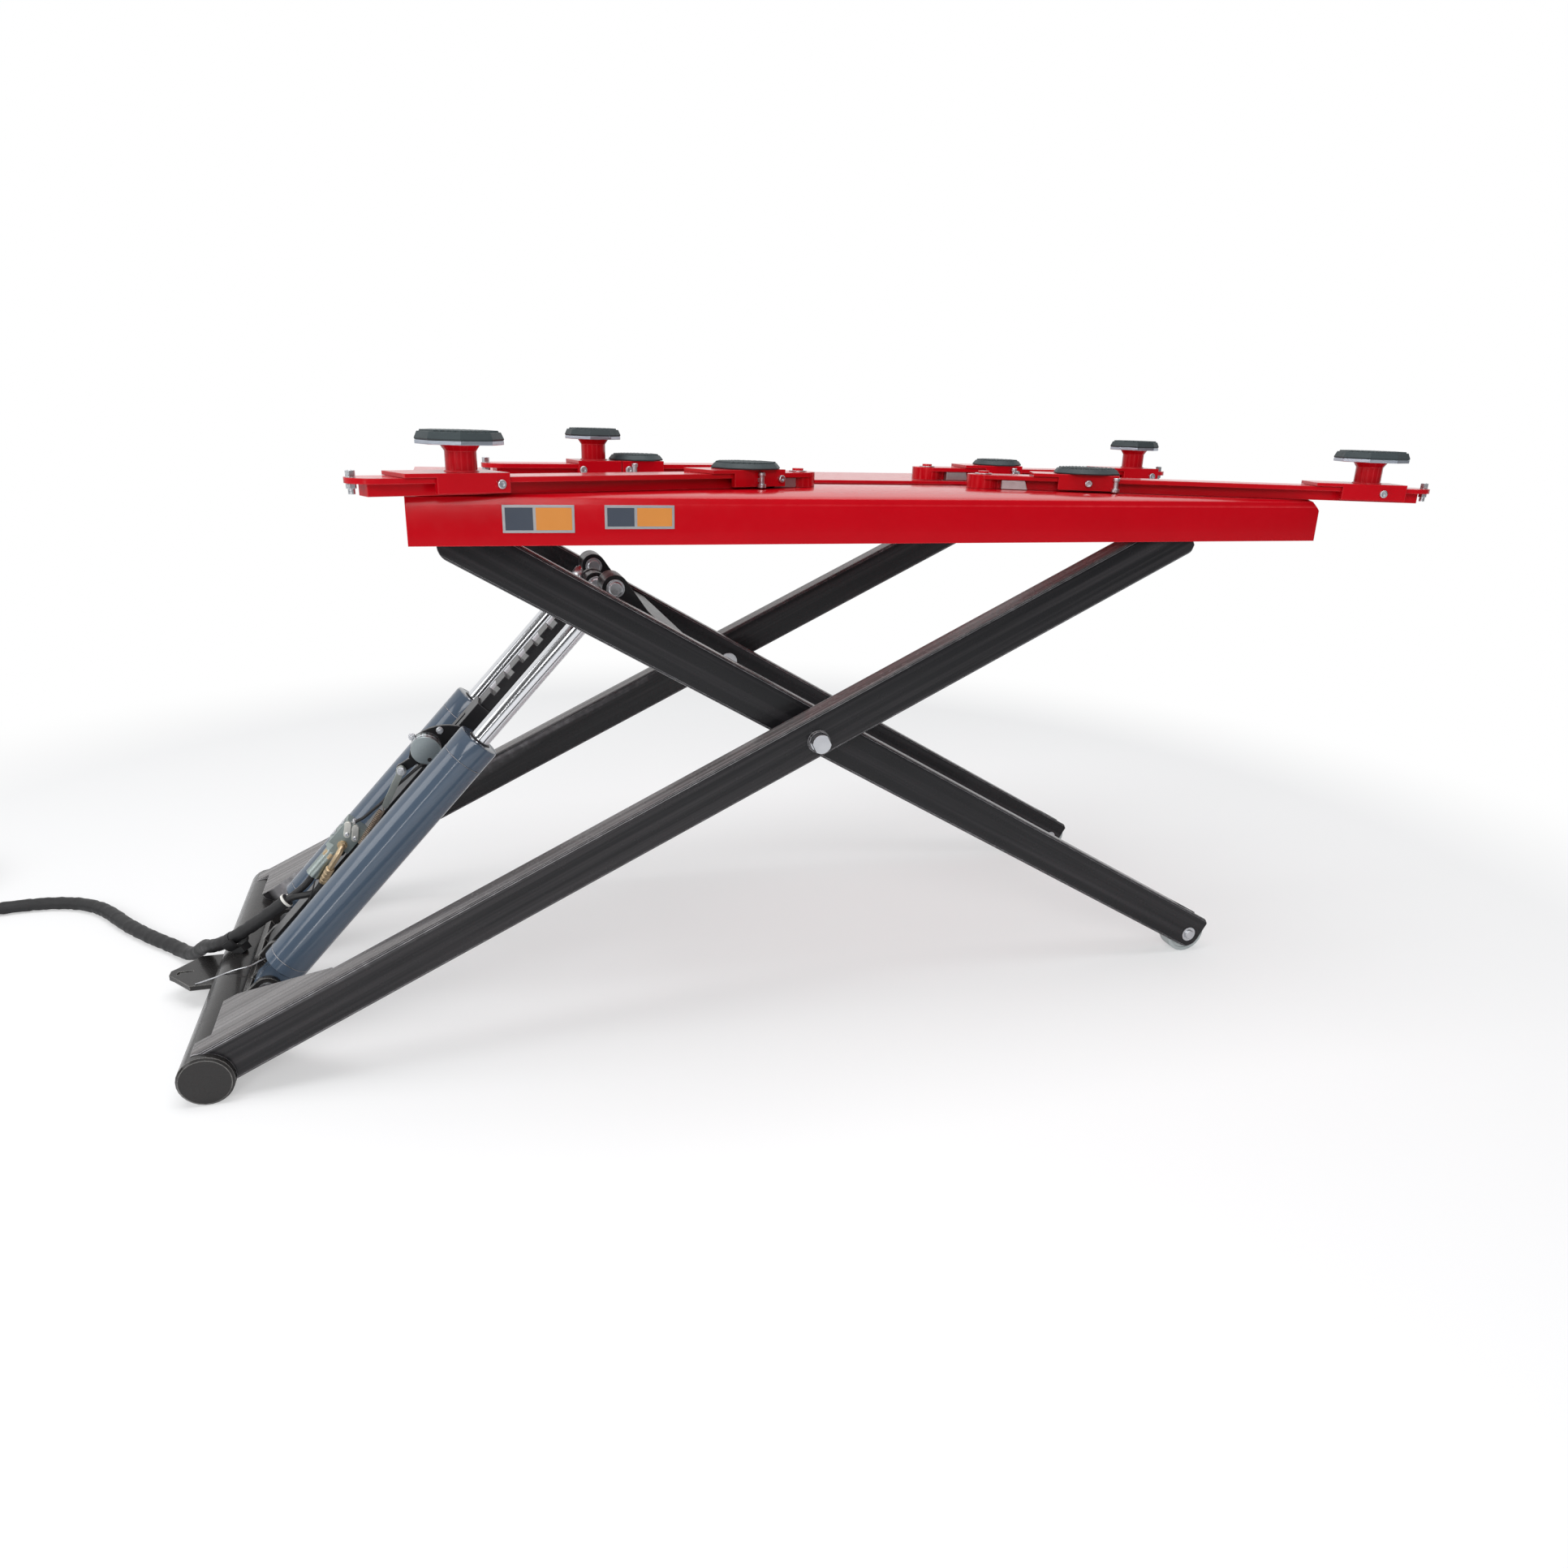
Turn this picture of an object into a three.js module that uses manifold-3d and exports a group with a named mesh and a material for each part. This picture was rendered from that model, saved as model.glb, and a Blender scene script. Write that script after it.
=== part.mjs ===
// Scissor car lift, raised, in millimetres with +Z up.
// X runs along the lift from the base tube to the floor rollers, and Y runs across it.
// The origin is on the floor under the middle of the base tube.

import * as THREE from 'three';
import { mergeVertices } from 'three/addons/utils/BufferGeometryUtils.js';
import Module from 'manifold-3d';

const wasm = await Module();
wasm.setup();

// Linkage lengths between pin centres, measured along each leg
const LIFT_ANGLE_DEG = 26.3;
const OUTER_LOWER = 1165;
const INNER_LOWER = 1040;
const INNER_UPPER = 680;

// Widths across the lift, and the base tube
const BASE_WIDTH = 800;
const BASE_TUBE_DIAMETER = 88.9;
const BASE_TUBE_WALL = 6;
const BASE_CAP_PROUD = 14;
const BASE_CAP_THICKNESS = 8;
const BASE_CAP_BEVEL = 4;
const VENT_HOLE_DIAMETER = 8;

// Leg section and its ends
const LEG_DEPTH = 76;
const LEG_WIDTH = 50;
const LEG_WALL = 5;
const LEG_CORNER = 7;
const LEG_OFFSET = 8;
const LEG_GAP = 12;
const CHEEK_THICKNESS = 8;
const FORK_LENGTH = 62;
const END_PLATE = 10;
const SLIDE_END_REACH = 35;
const SLIDE_END_CHAMFER = 12;
const SLIDE_END_SHOULDER = 21;
const SLIDE_END_CREST = 17;
const ROUND_END = 30;

// Pins and the gaps that turning pieces keep
const RUN_GAP = 0.3;
const SADDLE_GAP = 0.6;
const OVERRUN = 4;
const PIVOT_PIN_DIAMETER = 34;
const PIVOT_PIN_PROUD = 20;
const PIVOT_FLAT_DEPTH = 2;
const PIVOT_BUSH_DIAMETER = 50;
const PIVOT_COLLAR_DIAMETER = 39;
const PIVOT_COLLAR_PROUD = 7;
const BLIND_WALL = 3;
const BLIND_GAP = 0.5;
const PLATFORM_PIN_DIAMETER = 30;
const ROLLER_PIN_DIAMETER = 20;
const ROLLER_PIN_PROUD = 4;
const ROLLER_SIDE_GAP = 1;
const ROLLER_DISH = 2;
const ROLLER_HUB_DIAMETER = 44;

// Corner gussets between the base tube and the outer legs
const GUSSET_ALONG = 250;
const GUSSET_ACROSS = 106;
const GUSSET_START = 30;
const GUSSET_INSET = 12;
const LUG_PLATE = 8;
const LUG_PLATE_TOP = 22;

// Cylinder places: the lower pin rides on the outer frame, the upper one on the inner frame
const LOWER_PIN_ALONG = 81;
const LOWER_PIN_RISE = 6;
const CLEVIS_ALONG = 401;
const CLEVIS_RISE = 51;
const CYLINDER_SHARE = 0.65;
const BARREL_DIAMETER = 80;
const BARREL_BORE = 70;
const BARREL_LENGTH = 598;
const BARREL_START = 40;
const BARREL_BOTTOM = 22;
const GLAND_LENGTH = 46;
const SEAM_WIDTH = 2.4;
const SEAM_DEPTH = 1.2;
const BARREL_CHAMFER = 4;
const BARREL_EYE_RADIUS = 26;
const EYE_WIDTH = 40;
const ROD_DIAMETER = 36;
const ROD_EYE_RADIUS = 24;
const PISTON_LENGTH = 40;
const PISTON_STOP = 32;
const PISTON_GAP = 1.6;
const CYLINDER_PIN_DIAMETER = 25;
const LUG_THICKNESS = 11;
const LUG_RADIUS = 24;
const LUG_SIDE_GAP = 1;
const PIN_HEAD = 3;

// Cross beam between the inner legs, measured in the inner frame
const BEAM_ALONG = 280;
const BEAM_SIZE = 60;
const BEAM_WALL = 5;
const LUG_FOOT_BACK = 10;
const LUG_FOOT_RISE = 24;
const LUG_FOOT_DROP = 15;

// Safety bar: a box sleeve with a toothed bar sliding in it
const SAFETY_LOWER_ALONG = 83;
const SAFETY_LOWER_RISE = 10;
const SAFETY_UPPER_ALONG = 406;
const SAFETY_UPPER_RISE = 30;
const SLEEVE_WIDTH = 60;
const SLEEVE_DEPTH = 44;
const SLEEVE_WALL = 5;
const SLEEVE_START = 34;
const SLEEVE_END = 625;
const SLEEVE_SLOT_LENGTH = 34;
const SLEEVE_SLOT_WIDTH = 14;
const SLEEVE_SLOT_PLACE = 572;
const SAFETY_BAR_CLEARANCE = 1;
const SAFETY_BAR_START = 430;
const TOOTH_PITCH = 42;
const TOOTH_DEPTH = 9;
const TOOTH_LENGTH = 18;
const TOOTH_COUNT = 5;
const TOOTH_START = 655;
const SAFETY_EYE_RADIUS = 22;
const SAFETY_NECK = 90;

// Air release on the near side of the sleeve
const BRACKET_THICKNESS = 7;
const BRACKET_START = 462;
const BRACKET_LENGTH = 112;
const BRACKET_DROP = 12;
const BRACKET_RISE = 66;
const BRACKET_BEND_SHARE = 0.78;
const BRACKET_CREST_SHARE = 0.3;
const ACTUATOR_PLACE = 500;
const ACTUATOR_RISE = 44;
const ACTUATOR_DIAMETER = 54;
const ACTUATOR_LENGTH = 30;
const ACTUATOR_RIM = 3;
const LEVER_PIVOT_PLACE = 437;
const LEVER_PIVOT_RISE = 51;
const LEVER_PIVOT_DIAMETER = 12;
const LEVER_TAIL = 72;
const LEVER_TAIL_DROP = 20;
const LEVER_THICKNESS = 6;
const LEVER_Y = 47;
const LEVER_EYE_RADIUS = 9;
const LEVER_TIP_RADIUS = 6;
const POST_RADIUS = 5;
const SPRING_DIAMETER = 13;
const SPRING_WIRE = 2;
const SPRING_CURLS = 22;
const SPRING_FOOT_PLACE = 262;
const SPRING_FOOT_RISE = 17;
const SPRING_HOOK = 5;
const SPRING_GAP = 0.9;

// Valve block with its two hose fittings
const VALVE_PLACE = 268;
const VALVE_LENGTH = 56;
const VALVE_HEIGHT = 42;
const VALVE_DEPTH = 34;
const VALVE_Y = 22;
const FITTING_DIAMETER = 28;
const FITTING_LENGTH = 78;
const FITTING_NUT = 14;

// Hose bundle, its clip on the base tube, the stored coil and its coupling
const HOSE_DIAMETER = 36;
const HOSE_SIDES = 8;
const HOSE_STEPS = 26;
const LEAD_STEPS = 10;
const HOSE_JOIN_GAP = 0.3;
const HOSE_STRAIGHT = 10;
const CLIP_LENGTH = 26;
const CLIP_WALL = 4;
const CLIP_BORE_GAP = 1.6;
const CLIP_PLACE = [-10.1, -8.1, 115.9];
const CLIP_TURN_DEG = 27;
const CLIP_DIP_DEG = 32.4;
const CLIP_FOOT_WIDTH = 22;
const CLIP_FOOT_DEPTH = 14;
const COIL_RADIUS = 214;
const COIL_GAP = 1.5;
const COIL_INWARD_TURNS = 1;
const COIL_OUTWARD_TURNS = 0.75;
const COIL_CLIMB_TURNS = 0.5;
const COUPLING_DIAMETER = 42;
const COUPLING_LENGTH = 60;
const COUPLING_NOSE_DIAMETER = 30;
const COUPLING_NOSE_LENGTH = 26;
const COUPLING_GROOVE = 2;

// Hitch plate at the left of the base tube
const HITCH_REACH = 86;
const HITCH_THICKNESS = 10;
const HITCH_SHOULDER = 41;
const HITCH_Y = -1.5;
const HITCH_WIDTH = 125;
const HITCH_NOSE = 38;
const HITCH_CORNER = 10;
const HITCH_SLOT_WIDTH = 5;
const HITCH_SLOT_LENGTH = 28;
const HITCH_SLOT_HOOK = 9;
const HITCH_SLOT_START = 45;

// Platform side beams, measured from the platform pins
const PIN_TO_TOP = 82;
const BEAM_HEIGHT = 75;
const BEAM_LENGTH = 1637;
const BEAM_BACK = 69;
const BEAM_SHEET = 6;
const BEAM_BEND = 14;
const FLANGE_GAP = 146;
const END_CHAMFER = 20;
const EAR_THICKNESS = 16;
const EAR_GAP = 2;
const EAR_RADIUS = 28;
const EAR_LENGTH = 70;
const TRACK_RISE = 50;
const TRACK_BACK = 76;
const TRACK_LENGTH = 320;
const TRACK_SIDE_GAP = 1;
const CROSS_MEMBER_WIDTH = 80;
const CROSS_MEMBER_DEPTH = 24;
const CROSS_MEMBER_WALL = 5;
const LEFT_MEMBER_PLACE = 550;
const RIGHT_MEMBER_PLACE = 1426;
const MEMBER_LAP = 12;

// Slide blocks in the platform tracks
const BLOCK_HALF_LENGTH = 35;
const BLOCK_DROP = 15;
const BLOCK_TOP_GAP = 0.7;
const TRUNNION_DIAMETER = 26;

// Swing arms, their carriers and pads, with heights above the platform's top
const ARM_LIFT = 0.4;
const ARM_BAR_WIDTH = 34;
const ARM_BAR_HEIGHT = 18;
const ARM_PLATE_WIDTH = 74;
const ARM_PLATE_THICKNESS = 8;
const ARM_BAR_SETBACK = 24;
const ARM_PIN_DIAMETER = 20;
const ARM_BOSS_DIAMETER = 62;
const CARRIER_GAP = 0.4;
const CARRIER_SHEET = 6;
const CARRIER_SKIRT = 14;
const CARRIER_RUN_ON = 47;
const CARRIER_LIP = 4.6;
const POST_DIAMETER = 46;
const POST_FLARE_DIAMETER = 58;
const POST_HEIGHT = 38;
const POST_FLARE = 9;
const SPIGOT_DIAMETER = 24;
const SPIGOT_LENGTH = 20;
const TALL_PAD_PLATE = 6;
const TALL_PAD_RUBBER = 14;
const LOW_PAD_HEIGHT = 12;
const PAD_SEAT_GAP = 0.3;

// Facets of round pieces
const ROUND_SIDES = 28;
const PIN_SIDES = 16;
const SMALL_SIDES = 12;
const CORNER_STEPS = 2;
const ARC_STEPS = 8;
const NUT_SIDES = 6;
const COIL_SIDES = 6;
const COIL_LOOP_STEPS = 24;
const SPRING_SIDES = 5;
const SPRING_CURL_STEPS = 8;

// The hubs stand near the inner edges of the beams, two from each end of the platform.
// The two near arms are long ones, and the two far arms are short ones.
const HUB_ACROSS = 135;
const LEFT_HUB_PLACE = 685;
const RIGHT_HUB_PLACE = 1065;
const LONG_ARM = 824;
const SHORT_ARM = 568;
const LONG_CARRIER = 112;
const SHORT_CARRIER = 84;
const LONG_ARM_PAD = 118;
const SHORT_ARM_PAD = 98;

// Each arm: outward swing, and tall and low pad places as shares of the arm's length.
// The top plate of a carrier runs on past its skirts, ahead towards the tip or back.
const ARMS = [
  { name: 'near_left', side: -1, heading: -1, along: LEFT_HUB_PLACE, length: LONG_ARM, splay: 22.9,
    tall_share: 0.7925, low_share: 0.148, runOn: 1, skirt: LONG_CARRIER, pad: LONG_ARM_PAD },
  { name: 'far_left', side: 1, heading: -1, along: LEFT_HUB_PLACE, length: SHORT_ARM, splay: -10,
    tall_share: 0.6232, low_share: 0.4718, runOn: 0, skirt: SHORT_CARRIER, pad: SHORT_ARM_PAD },
  { name: 'near_right', side: -1, heading: 1, along: RIGHT_HUB_PLACE, length: LONG_ARM, splay: 23.4,
    tall_share: 0.8641, low_share: 0.2367, runOn: -1, skirt: LONG_CARRIER, pad: LONG_ARM_PAD },
  { name: 'far_right', side: 1, heading: 1, along: RIGHT_HUB_PLACE, length: SHORT_ARM, splay: -4,
    tall_share: 0.8662, low_share: 0.2852, runOn: -1, skirt: SHORT_CARRIER, pad: SHORT_ARM_PAD },
];

// Values worked out from the ones above
const rad = THREE.MathUtils.degToRad;
const LIFT_ANGLE = rad(LIFT_ANGLE_DEG);
const OUTER_UPPER = INNER_UPPER * OUTER_LOWER / INNER_LOWER;
const INNER_ANGLE = Math.asin(OUTER_LOWER * Math.sin(LIFT_ANGLE) / INNER_LOWER);
const TUBE_RADIUS = BASE_TUBE_DIAMETER / 2;
const LEG_BOTTOM = LEG_OFFSET - LEG_DEPTH / 2;
const LEG_TOP = LEG_OFFSET + LEG_DEPTH / 2;
const OUTER_OUT = BASE_WIDTH / 2 - BASE_CAP_PROUD;
const OUTER_IN = OUTER_OUT - LEG_WIDTH;
const INNER_OUT = OUTER_IN - LEG_GAP;
const INNER_IN = INNER_OUT - LEG_WIDTH;
const CYLINDER_Y = (OUTER_IN - GUSSET_ACROSS) * CYLINDER_SHARE;
const PISTON_PLACE = BARREL_LENGTH - GLAND_LENGTH - PISTON_LENGTH - PISTON_STOP;
const BASE_AXIS = new THREE.Vector3(0, 0, TUBE_RADIUS);
const PIVOT = outerPoint(OUTER_LOWER, 0);
const PLATFORM_PIN = innerPoint(-INNER_UPPER, 0);
const SLIDE_PIN = outerPoint(OUTER_LOWER + OUTER_UPPER, 0);
const ROLLER_PIN = innerPoint(INNER_LOWER, 0);
const CYLINDER_LOWER = outerPoint(LOWER_PIN_ALONG, LOWER_PIN_RISE);
const CYLINDER_UPPER = innerPoint(-CLEVIS_ALONG, CLEVIS_RISE);
const SAFETY_LOWER = outerPoint(SAFETY_LOWER_ALONG, SAFETY_LOWER_RISE);
const SAFETY_UPPER = innerPoint(-SAFETY_UPPER_ALONG, SAFETY_UPPER_RISE);
const CYLINDER_LENGTH = CYLINDER_LOWER.distanceTo(CYLINDER_UPPER);
const SAFETY_LENGTH = SAFETY_LOWER.distanceTo(SAFETY_UPPER);
const CYLINDER_SLOPE = slopeBetween(CYLINDER_LOWER, CYLINDER_UPPER);
const SAFETY_SLOPE = slopeBetween(SAFETY_LOWER, SAFETY_UPPER);
const PLATFORM_TOP = PLATFORM_PIN.z + PIN_TO_TOP;
const BEAM_LEFT = PLATFORM_PIN.x - BEAM_BACK;
const BEAM_OUT = BASE_WIDTH / 2;
const FLANGE_IN = FLANGE_GAP / 2;

const PAINT = { colour: 0x24262a, roughness: 0.42, metalness: 0.25 };
const RED = { colour: 0xb3001c, roughness: 0.3, metalness: 0.1 };
const BARREL_GREY = { colour: 0x5a6a7e, roughness: 0.38, metalness: 0.2 };
const CHROME = { colour: 0xd6d8da, roughness: 0.12, metalness: 1 };
const ZINC = { colour: 0xb9bcbd, roughness: 0.35, metalness: 0.9 };
const NYLON = { colour: 0xc9cccb, roughness: 0.5, metalness: 0 };
const RUBBER = { colour: 0x2c3537, roughness: 0.85, metalness: 0 };
const HOSE = { colour: 0x2b2b2c, roughness: 0.7, metalness: 0 };
const VALVE = { colour: 0x6c7a76, roughness: 0.45, metalness: 0.6 };

function outerPoint(along, rise) {
  const x = along * Math.cos(LIFT_ANGLE) - rise * Math.sin(LIFT_ANGLE);
  const z = along * Math.sin(LIFT_ANGLE) + rise * Math.cos(LIFT_ANGLE);
  return new THREE.Vector3(x, 0, TUBE_RADIUS + z);
}

function innerPoint(along, rise) {
  const pivot = outerPoint(OUTER_LOWER, 0);
  const x = along * Math.cos(INNER_ANGLE) + rise * Math.sin(INNER_ANGLE);
  const z = rise * Math.cos(INNER_ANGLE) - along * Math.sin(INNER_ANGLE);
  return new THREE.Vector3(pivot.x + x, 0, pivot.z + z);
}

function slopeBetween(low, high) {
  return Math.atan2(high.z - low.z, high.x - low.x);
}

// Solids: a closed geometry becomes a manifold, and goes back to a geometry at the end

function toSolid(geometry) {
  const bare = geometry.clone();
  bare.deleteAttribute('normal');
  bare.deleteAttribute('uv');
  const merged = mergeVertices(bare);
  const mesh = new wasm.Mesh({
    numProp: 3,
    vertProperties: new Float32Array(merged.attributes.position.array),
    triVerts: new Uint32Array(merged.index.array),
  });
  return new wasm.Manifold(mesh);
}

function toGeometry(solid) {
  const mesh = solid.getMesh();
  const points = new Float32Array(mesh.numVert * 3);
  for (let i = 0; i < mesh.numVert; i += 1) {
    for (let k = 0; k < 3; k += 1) {
      points[i * 3 + k] = mesh.vertProperties[i * mesh.numProp + k];
    }
  }
  const geometry = new THREE.BufferGeometry();
  geometry.setAttribute('position', new THREE.BufferAttribute(points, 3));
  geometry.setIndex(Array.from(mesh.triVerts));
  geometry.computeVertexNormals();
  return geometry;
}

function block(x0, x1, y0, y1, z0, z1) {
  const box = new THREE.BoxGeometry(Math.abs(x1 - x0), Math.abs(y1 - y0), Math.abs(z1 - z0));
  box.translate((x0 + x1) / 2, (y0 + y1) / 2, (z0 + z1) / 2);
  return toSolid(box);
}

// A round bar whose flats, not its corners, lie on the radius
function outerRadius(radius, sides) {
  return radius / Math.cos(Math.PI / sides);
}

// The radius of a bore in which a faceted pin turns freely
function boreFor(diameter, sides = PIN_SIDES) {
  return outerRadius(diameter / 2, sides) + RUN_GAP;
}

function barY(radius, y0, y1, x, z, sides = PIN_SIDES) {
  const wide = outerRadius(radius, sides);
  const bar = new THREE.CylinderGeometry(wide, wide, Math.abs(y1 - y0), sides, 1, false, Math.PI / sides);
  bar.translate(x, (y0 + y1) / 2, z);
  return toSolid(bar);
}

function barX(radius, x0, x1, y, z, sides = PIN_SIDES) {
  const wide = outerRadius(radius, sides);
  const bar = new THREE.CylinderGeometry(wide, wide, Math.abs(x1 - x0), sides);
  bar.rotateZ(Math.PI / 2);
  bar.translate((x0 + x1) / 2, y, z);
  return toSolid(bar);
}

function barZ(radius, z0, z1, x, y, sides = PIN_SIDES) {
  const wide = outerRadius(radius, sides);
  const bar = new THREE.CylinderGeometry(wide, wide, Math.abs(z1 - z0), sides);
  bar.rotateX(Math.PI / 2);
  bar.translate(x, y, (z0 + z1) / 2);
  return toSolid(bar);
}

// An outline drawn in X and Z, as thick as y0 to y1
function plateXZ(shape, y0, y1, curveSegments = ARC_STEPS) {
  const settings = { depth: Math.abs(y1 - y0), bevelEnabled: false, curveSegments };
  const plate = new THREE.ExtrudeGeometry(shape, settings);
  plate.rotateX(Math.PI / 2);
  plate.translate(0, Math.max(y0, y1), 0);
  return toSolid(plate);
}

function plateXY(shape, z0, z1, curveSegments = ARC_STEPS) {
  const plate = new THREE.ExtrudeGeometry(shape, { depth: z1 - z0, bevelEnabled: false, curveSegments });
  plate.translate(0, 0, z0);
  return toSolid(plate);
}

// A section drawn in Y and Z, run along X
function prismX(shape, x0, x1, curveSegments = CORNER_STEPS) {
  const prism = new THREE.ExtrudeGeometry(shape, { depth: x1 - x0, bevelEnabled: false, curveSegments });
  const turn = new THREE.Matrix4().makeBasis(
    new THREE.Vector3(0, 1, 0),
    new THREE.Vector3(0, 0, 1),
    new THREE.Vector3(1, 0, 0),
  );
  prism.applyMatrix4(turn);
  prism.translate(x0, 0, 0);
  return toSolid(prism);
}

// A profile of [distance along X, radius] pairs turned about the X axis
function turnedX(profile, sides = ROUND_SIDES) {
  const points = profile.map(([along, radius]) => new THREE.Vector2(radius, along));
  const lathe = new THREE.LatheGeometry(points, sides);
  lathe.rotateZ(-Math.PI / 2);
  return toSolid(lathe);
}

function turnedZ(profile, x, y, sides = PIN_SIDES) {
  const points = profile.map(([height, radius]) => new THREE.Vector2(radius, height));
  const lathe = new THREE.LatheGeometry(points, sides);
  lathe.rotateX(Math.PI / 2);
  lathe.translate(x, y, 0);
  return toSolid(lathe);
}

function outline(points) {
  return new THREE.Shape(points.map(([u, v]) => new THREE.Vector2(u, v)));
}

function roundedBox(u0, u1, v0, v1, radius) {
  const shape = new THREE.Shape();
  shape.moveTo(u0 + radius, v0);
  shape.lineTo(u1 - radius, v0);
  shape.absarc(u1 - radius, v0 + radius, radius, -Math.PI / 2, 0);
  shape.lineTo(u1, v1 - radius);
  shape.absarc(u1 - radius, v1 - radius, radius, 0, Math.PI / 2);
  shape.lineTo(u0 + radius, v1);
  shape.absarc(u0 + radius, v1 - radius, radius, Math.PI / 2, Math.PI);
  shape.lineTo(u0, v0 + radius);
  shape.absarc(u0 + radius, v0 + radius, radius, Math.PI, -Math.PI / 2);
  return shape;
}

// A plate that runs from a round end at centre to two foot points, along straight tangents.
// The foot points are given in turning order round the outline, counter-clockwise from the round end.
function teardrop(centre, radius, footA, footB) {
  const shape = new THREE.Shape();
  const angleTo = (foot, turn) => {
    const dx = foot[0] - centre[0];
    const dz = foot[1] - centre[1];
    const far = Math.hypot(dx, dz);
    return Math.atan2(dz, dx) + turn * Math.acos(radius / far);
  };
  const start = angleTo(footB, 1);
  const end = angleTo(footA, -1) + Math.PI * 2;
  shape.moveTo(centre[0] + radius * Math.cos(start), centre[1] + radius * Math.sin(start));
  shape.absarc(centre[0], centre[1], radius, start, end % (Math.PI * 2));
  shape.lineTo(footA[0], footA[1]);
  shape.lineTo(footB[0], footB[1]);
  shape.closePath();
  return shape;
}

function octagon(size) {
  const half = size / 2;
  const cut = half * Math.tan(Math.PI / 8);
  return outline([
    [half, -cut], [half, cut], [cut, half], [-cut, half],
    [-half, cut], [-half, -cut], [-cut, -half], [cut, -half],
  ]);
}

function piece(name, solid, look) {
  const geometry = solid.isBufferGeometry ? solid : toGeometry(solid);
  const material = new THREE.MeshStandardMaterial({
    color: look.colour,
    roughness: look.roughness,
    metalness: look.metalness,
  });
  const mesh = new THREE.Mesh(geometry, material);
  mesh.name = name;
  return mesh;
}

const SIDES = [
  { side: -1, word: 'near' },
  { side: 1, word: 'far' },
];

// Places the span between two distances from the middle on one side of the lift
function across(side, inner, outer) {
  return side < 0 ? [-outer, -inner] : [inner, outer];
}

const lift = new THREE.Group();
const outerFrame = new THREE.Group();
outerFrame.position.copy(BASE_AXIS);
outerFrame.rotation.y = -LIFT_ANGLE;
const innerFrame = new THREE.Group();
innerFrame.position.copy(PIVOT);
innerFrame.rotation.y = INNER_ANGLE;
lift.add(outerFrame, innerFrame);

// Base tube with a bevelled cap welded on each end and a vent hole at the back

function makeBaseTube() {
  const half = BASE_WIDTH / 2;
  const caps = half - BASE_CAP_THICKNESS;
  let tube = barY(TUBE_RADIUS, -caps, caps, 0, TUBE_RADIUS, ROUND_SIDES);
  const bevelled = (y0, y1, narrowFirst) => {
    const wide = outerRadius(TUBE_RADIUS, ROUND_SIDES);
    const thin = outerRadius(TUBE_RADIUS - BASE_CAP_BEVEL, ROUND_SIDES);
    const top = narrowFirst ? wide : thin;
    const bottom = narrowFirst ? thin : wide;
    const turn = Math.PI / ROUND_SIDES;
    const cap = new THREE.CylinderGeometry(top, bottom, y1 - y0, ROUND_SIDES, 1, false, turn);
    cap.translate(0, (y0 + y1) / 2, TUBE_RADIUS);
    return toSolid(cap);
  };
  const rim = half - BASE_CAP_BEVEL;
  tube = tube.add(barY(TUBE_RADIUS, -rim, rim, 0, TUBE_RADIUS, ROUND_SIDES));
  tube = tube.add(bevelled(-half, -rim, true));
  tube = tube.add(bevelled(rim, half, false));
  tube = tube.subtract(barY(TUBE_RADIUS - BASE_TUBE_WALL, -caps, caps, 0, TUBE_RADIUS, ROUND_SIDES));
  const vent = barX(VENT_HOLE_DIAMETER / 2, 0, TUBE_RADIUS + OVERRUN, 0, TUBE_RADIUS, SMALL_SIDES);
  tube = tube.subtract(vent);
  return piece('base_tube', tube, PAINT);
}

lift.add(makeBaseTube());

// Outer legs: box tubes with a saddle at the base tube, a gusset and a fork at the top

function saddleCut() {
  return barY(TUBE_RADIUS + SADDLE_GAP, -BASE_WIDTH / 2, BASE_WIDTH / 2, 0, 0, ROUND_SIDES);
}

// The side outline of an outer leg: it ends in a crest that stays below the platform's track
function outerProfile() {
  const pin = OUTER_LOWER + OUTER_UPPER;
  const end = pin + SLIDE_END_REACH;
  return outline([
    [0, LEG_BOTTOM],
    [end - SLIDE_END_CHAMFER, LEG_BOTTOM],
    [end, LEG_BOTTOM + SLIDE_END_CHAMFER],
    [end, SLIDE_END_SHOULDER],
    [pin + SLIDE_END_CREST, LEG_TOP],
    [0, LEG_TOP],
  ]);
}

// The side outline of an inner leg: the lower corner of each end is round about its pin
function innerProfile() {
  const shape = new THREE.Shape();
  const right = INNER_LOWER + ROUND_END;
  const left = -INNER_UPPER - ROUND_END;
  shape.moveTo(-INNER_UPPER, LEG_BOTTOM);
  shape.lineTo(INNER_LOWER, LEG_BOTTOM);
  shape.absarc(INNER_LOWER, 0, ROUND_END, -Math.PI / 2, 0);
  shape.lineTo(right, LEG_TOP - LEG_CORNER);
  shape.lineTo(right - LEG_CORNER, LEG_TOP);
  shape.lineTo(left + LEG_CORNER, LEG_TOP);
  shape.lineTo(left, LEG_TOP - LEG_CORNER);
  shape.lineTo(left, 0);
  shape.absarc(-INNER_UPPER, 0, ROUND_END, Math.PI, -Math.PI / 2);
  return shape;
}

// The open slot of a fork, between its two cheeks
function forkSlot(start, end, y0, y1) {
  return block(start, end + OVERRUN, y0 + CHEEK_THICKNESS, y1 - CHEEK_THICKNESS,
    LEG_BOTTOM - OVERRUN, LEG_TOP + OVERRUN);
}

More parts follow.
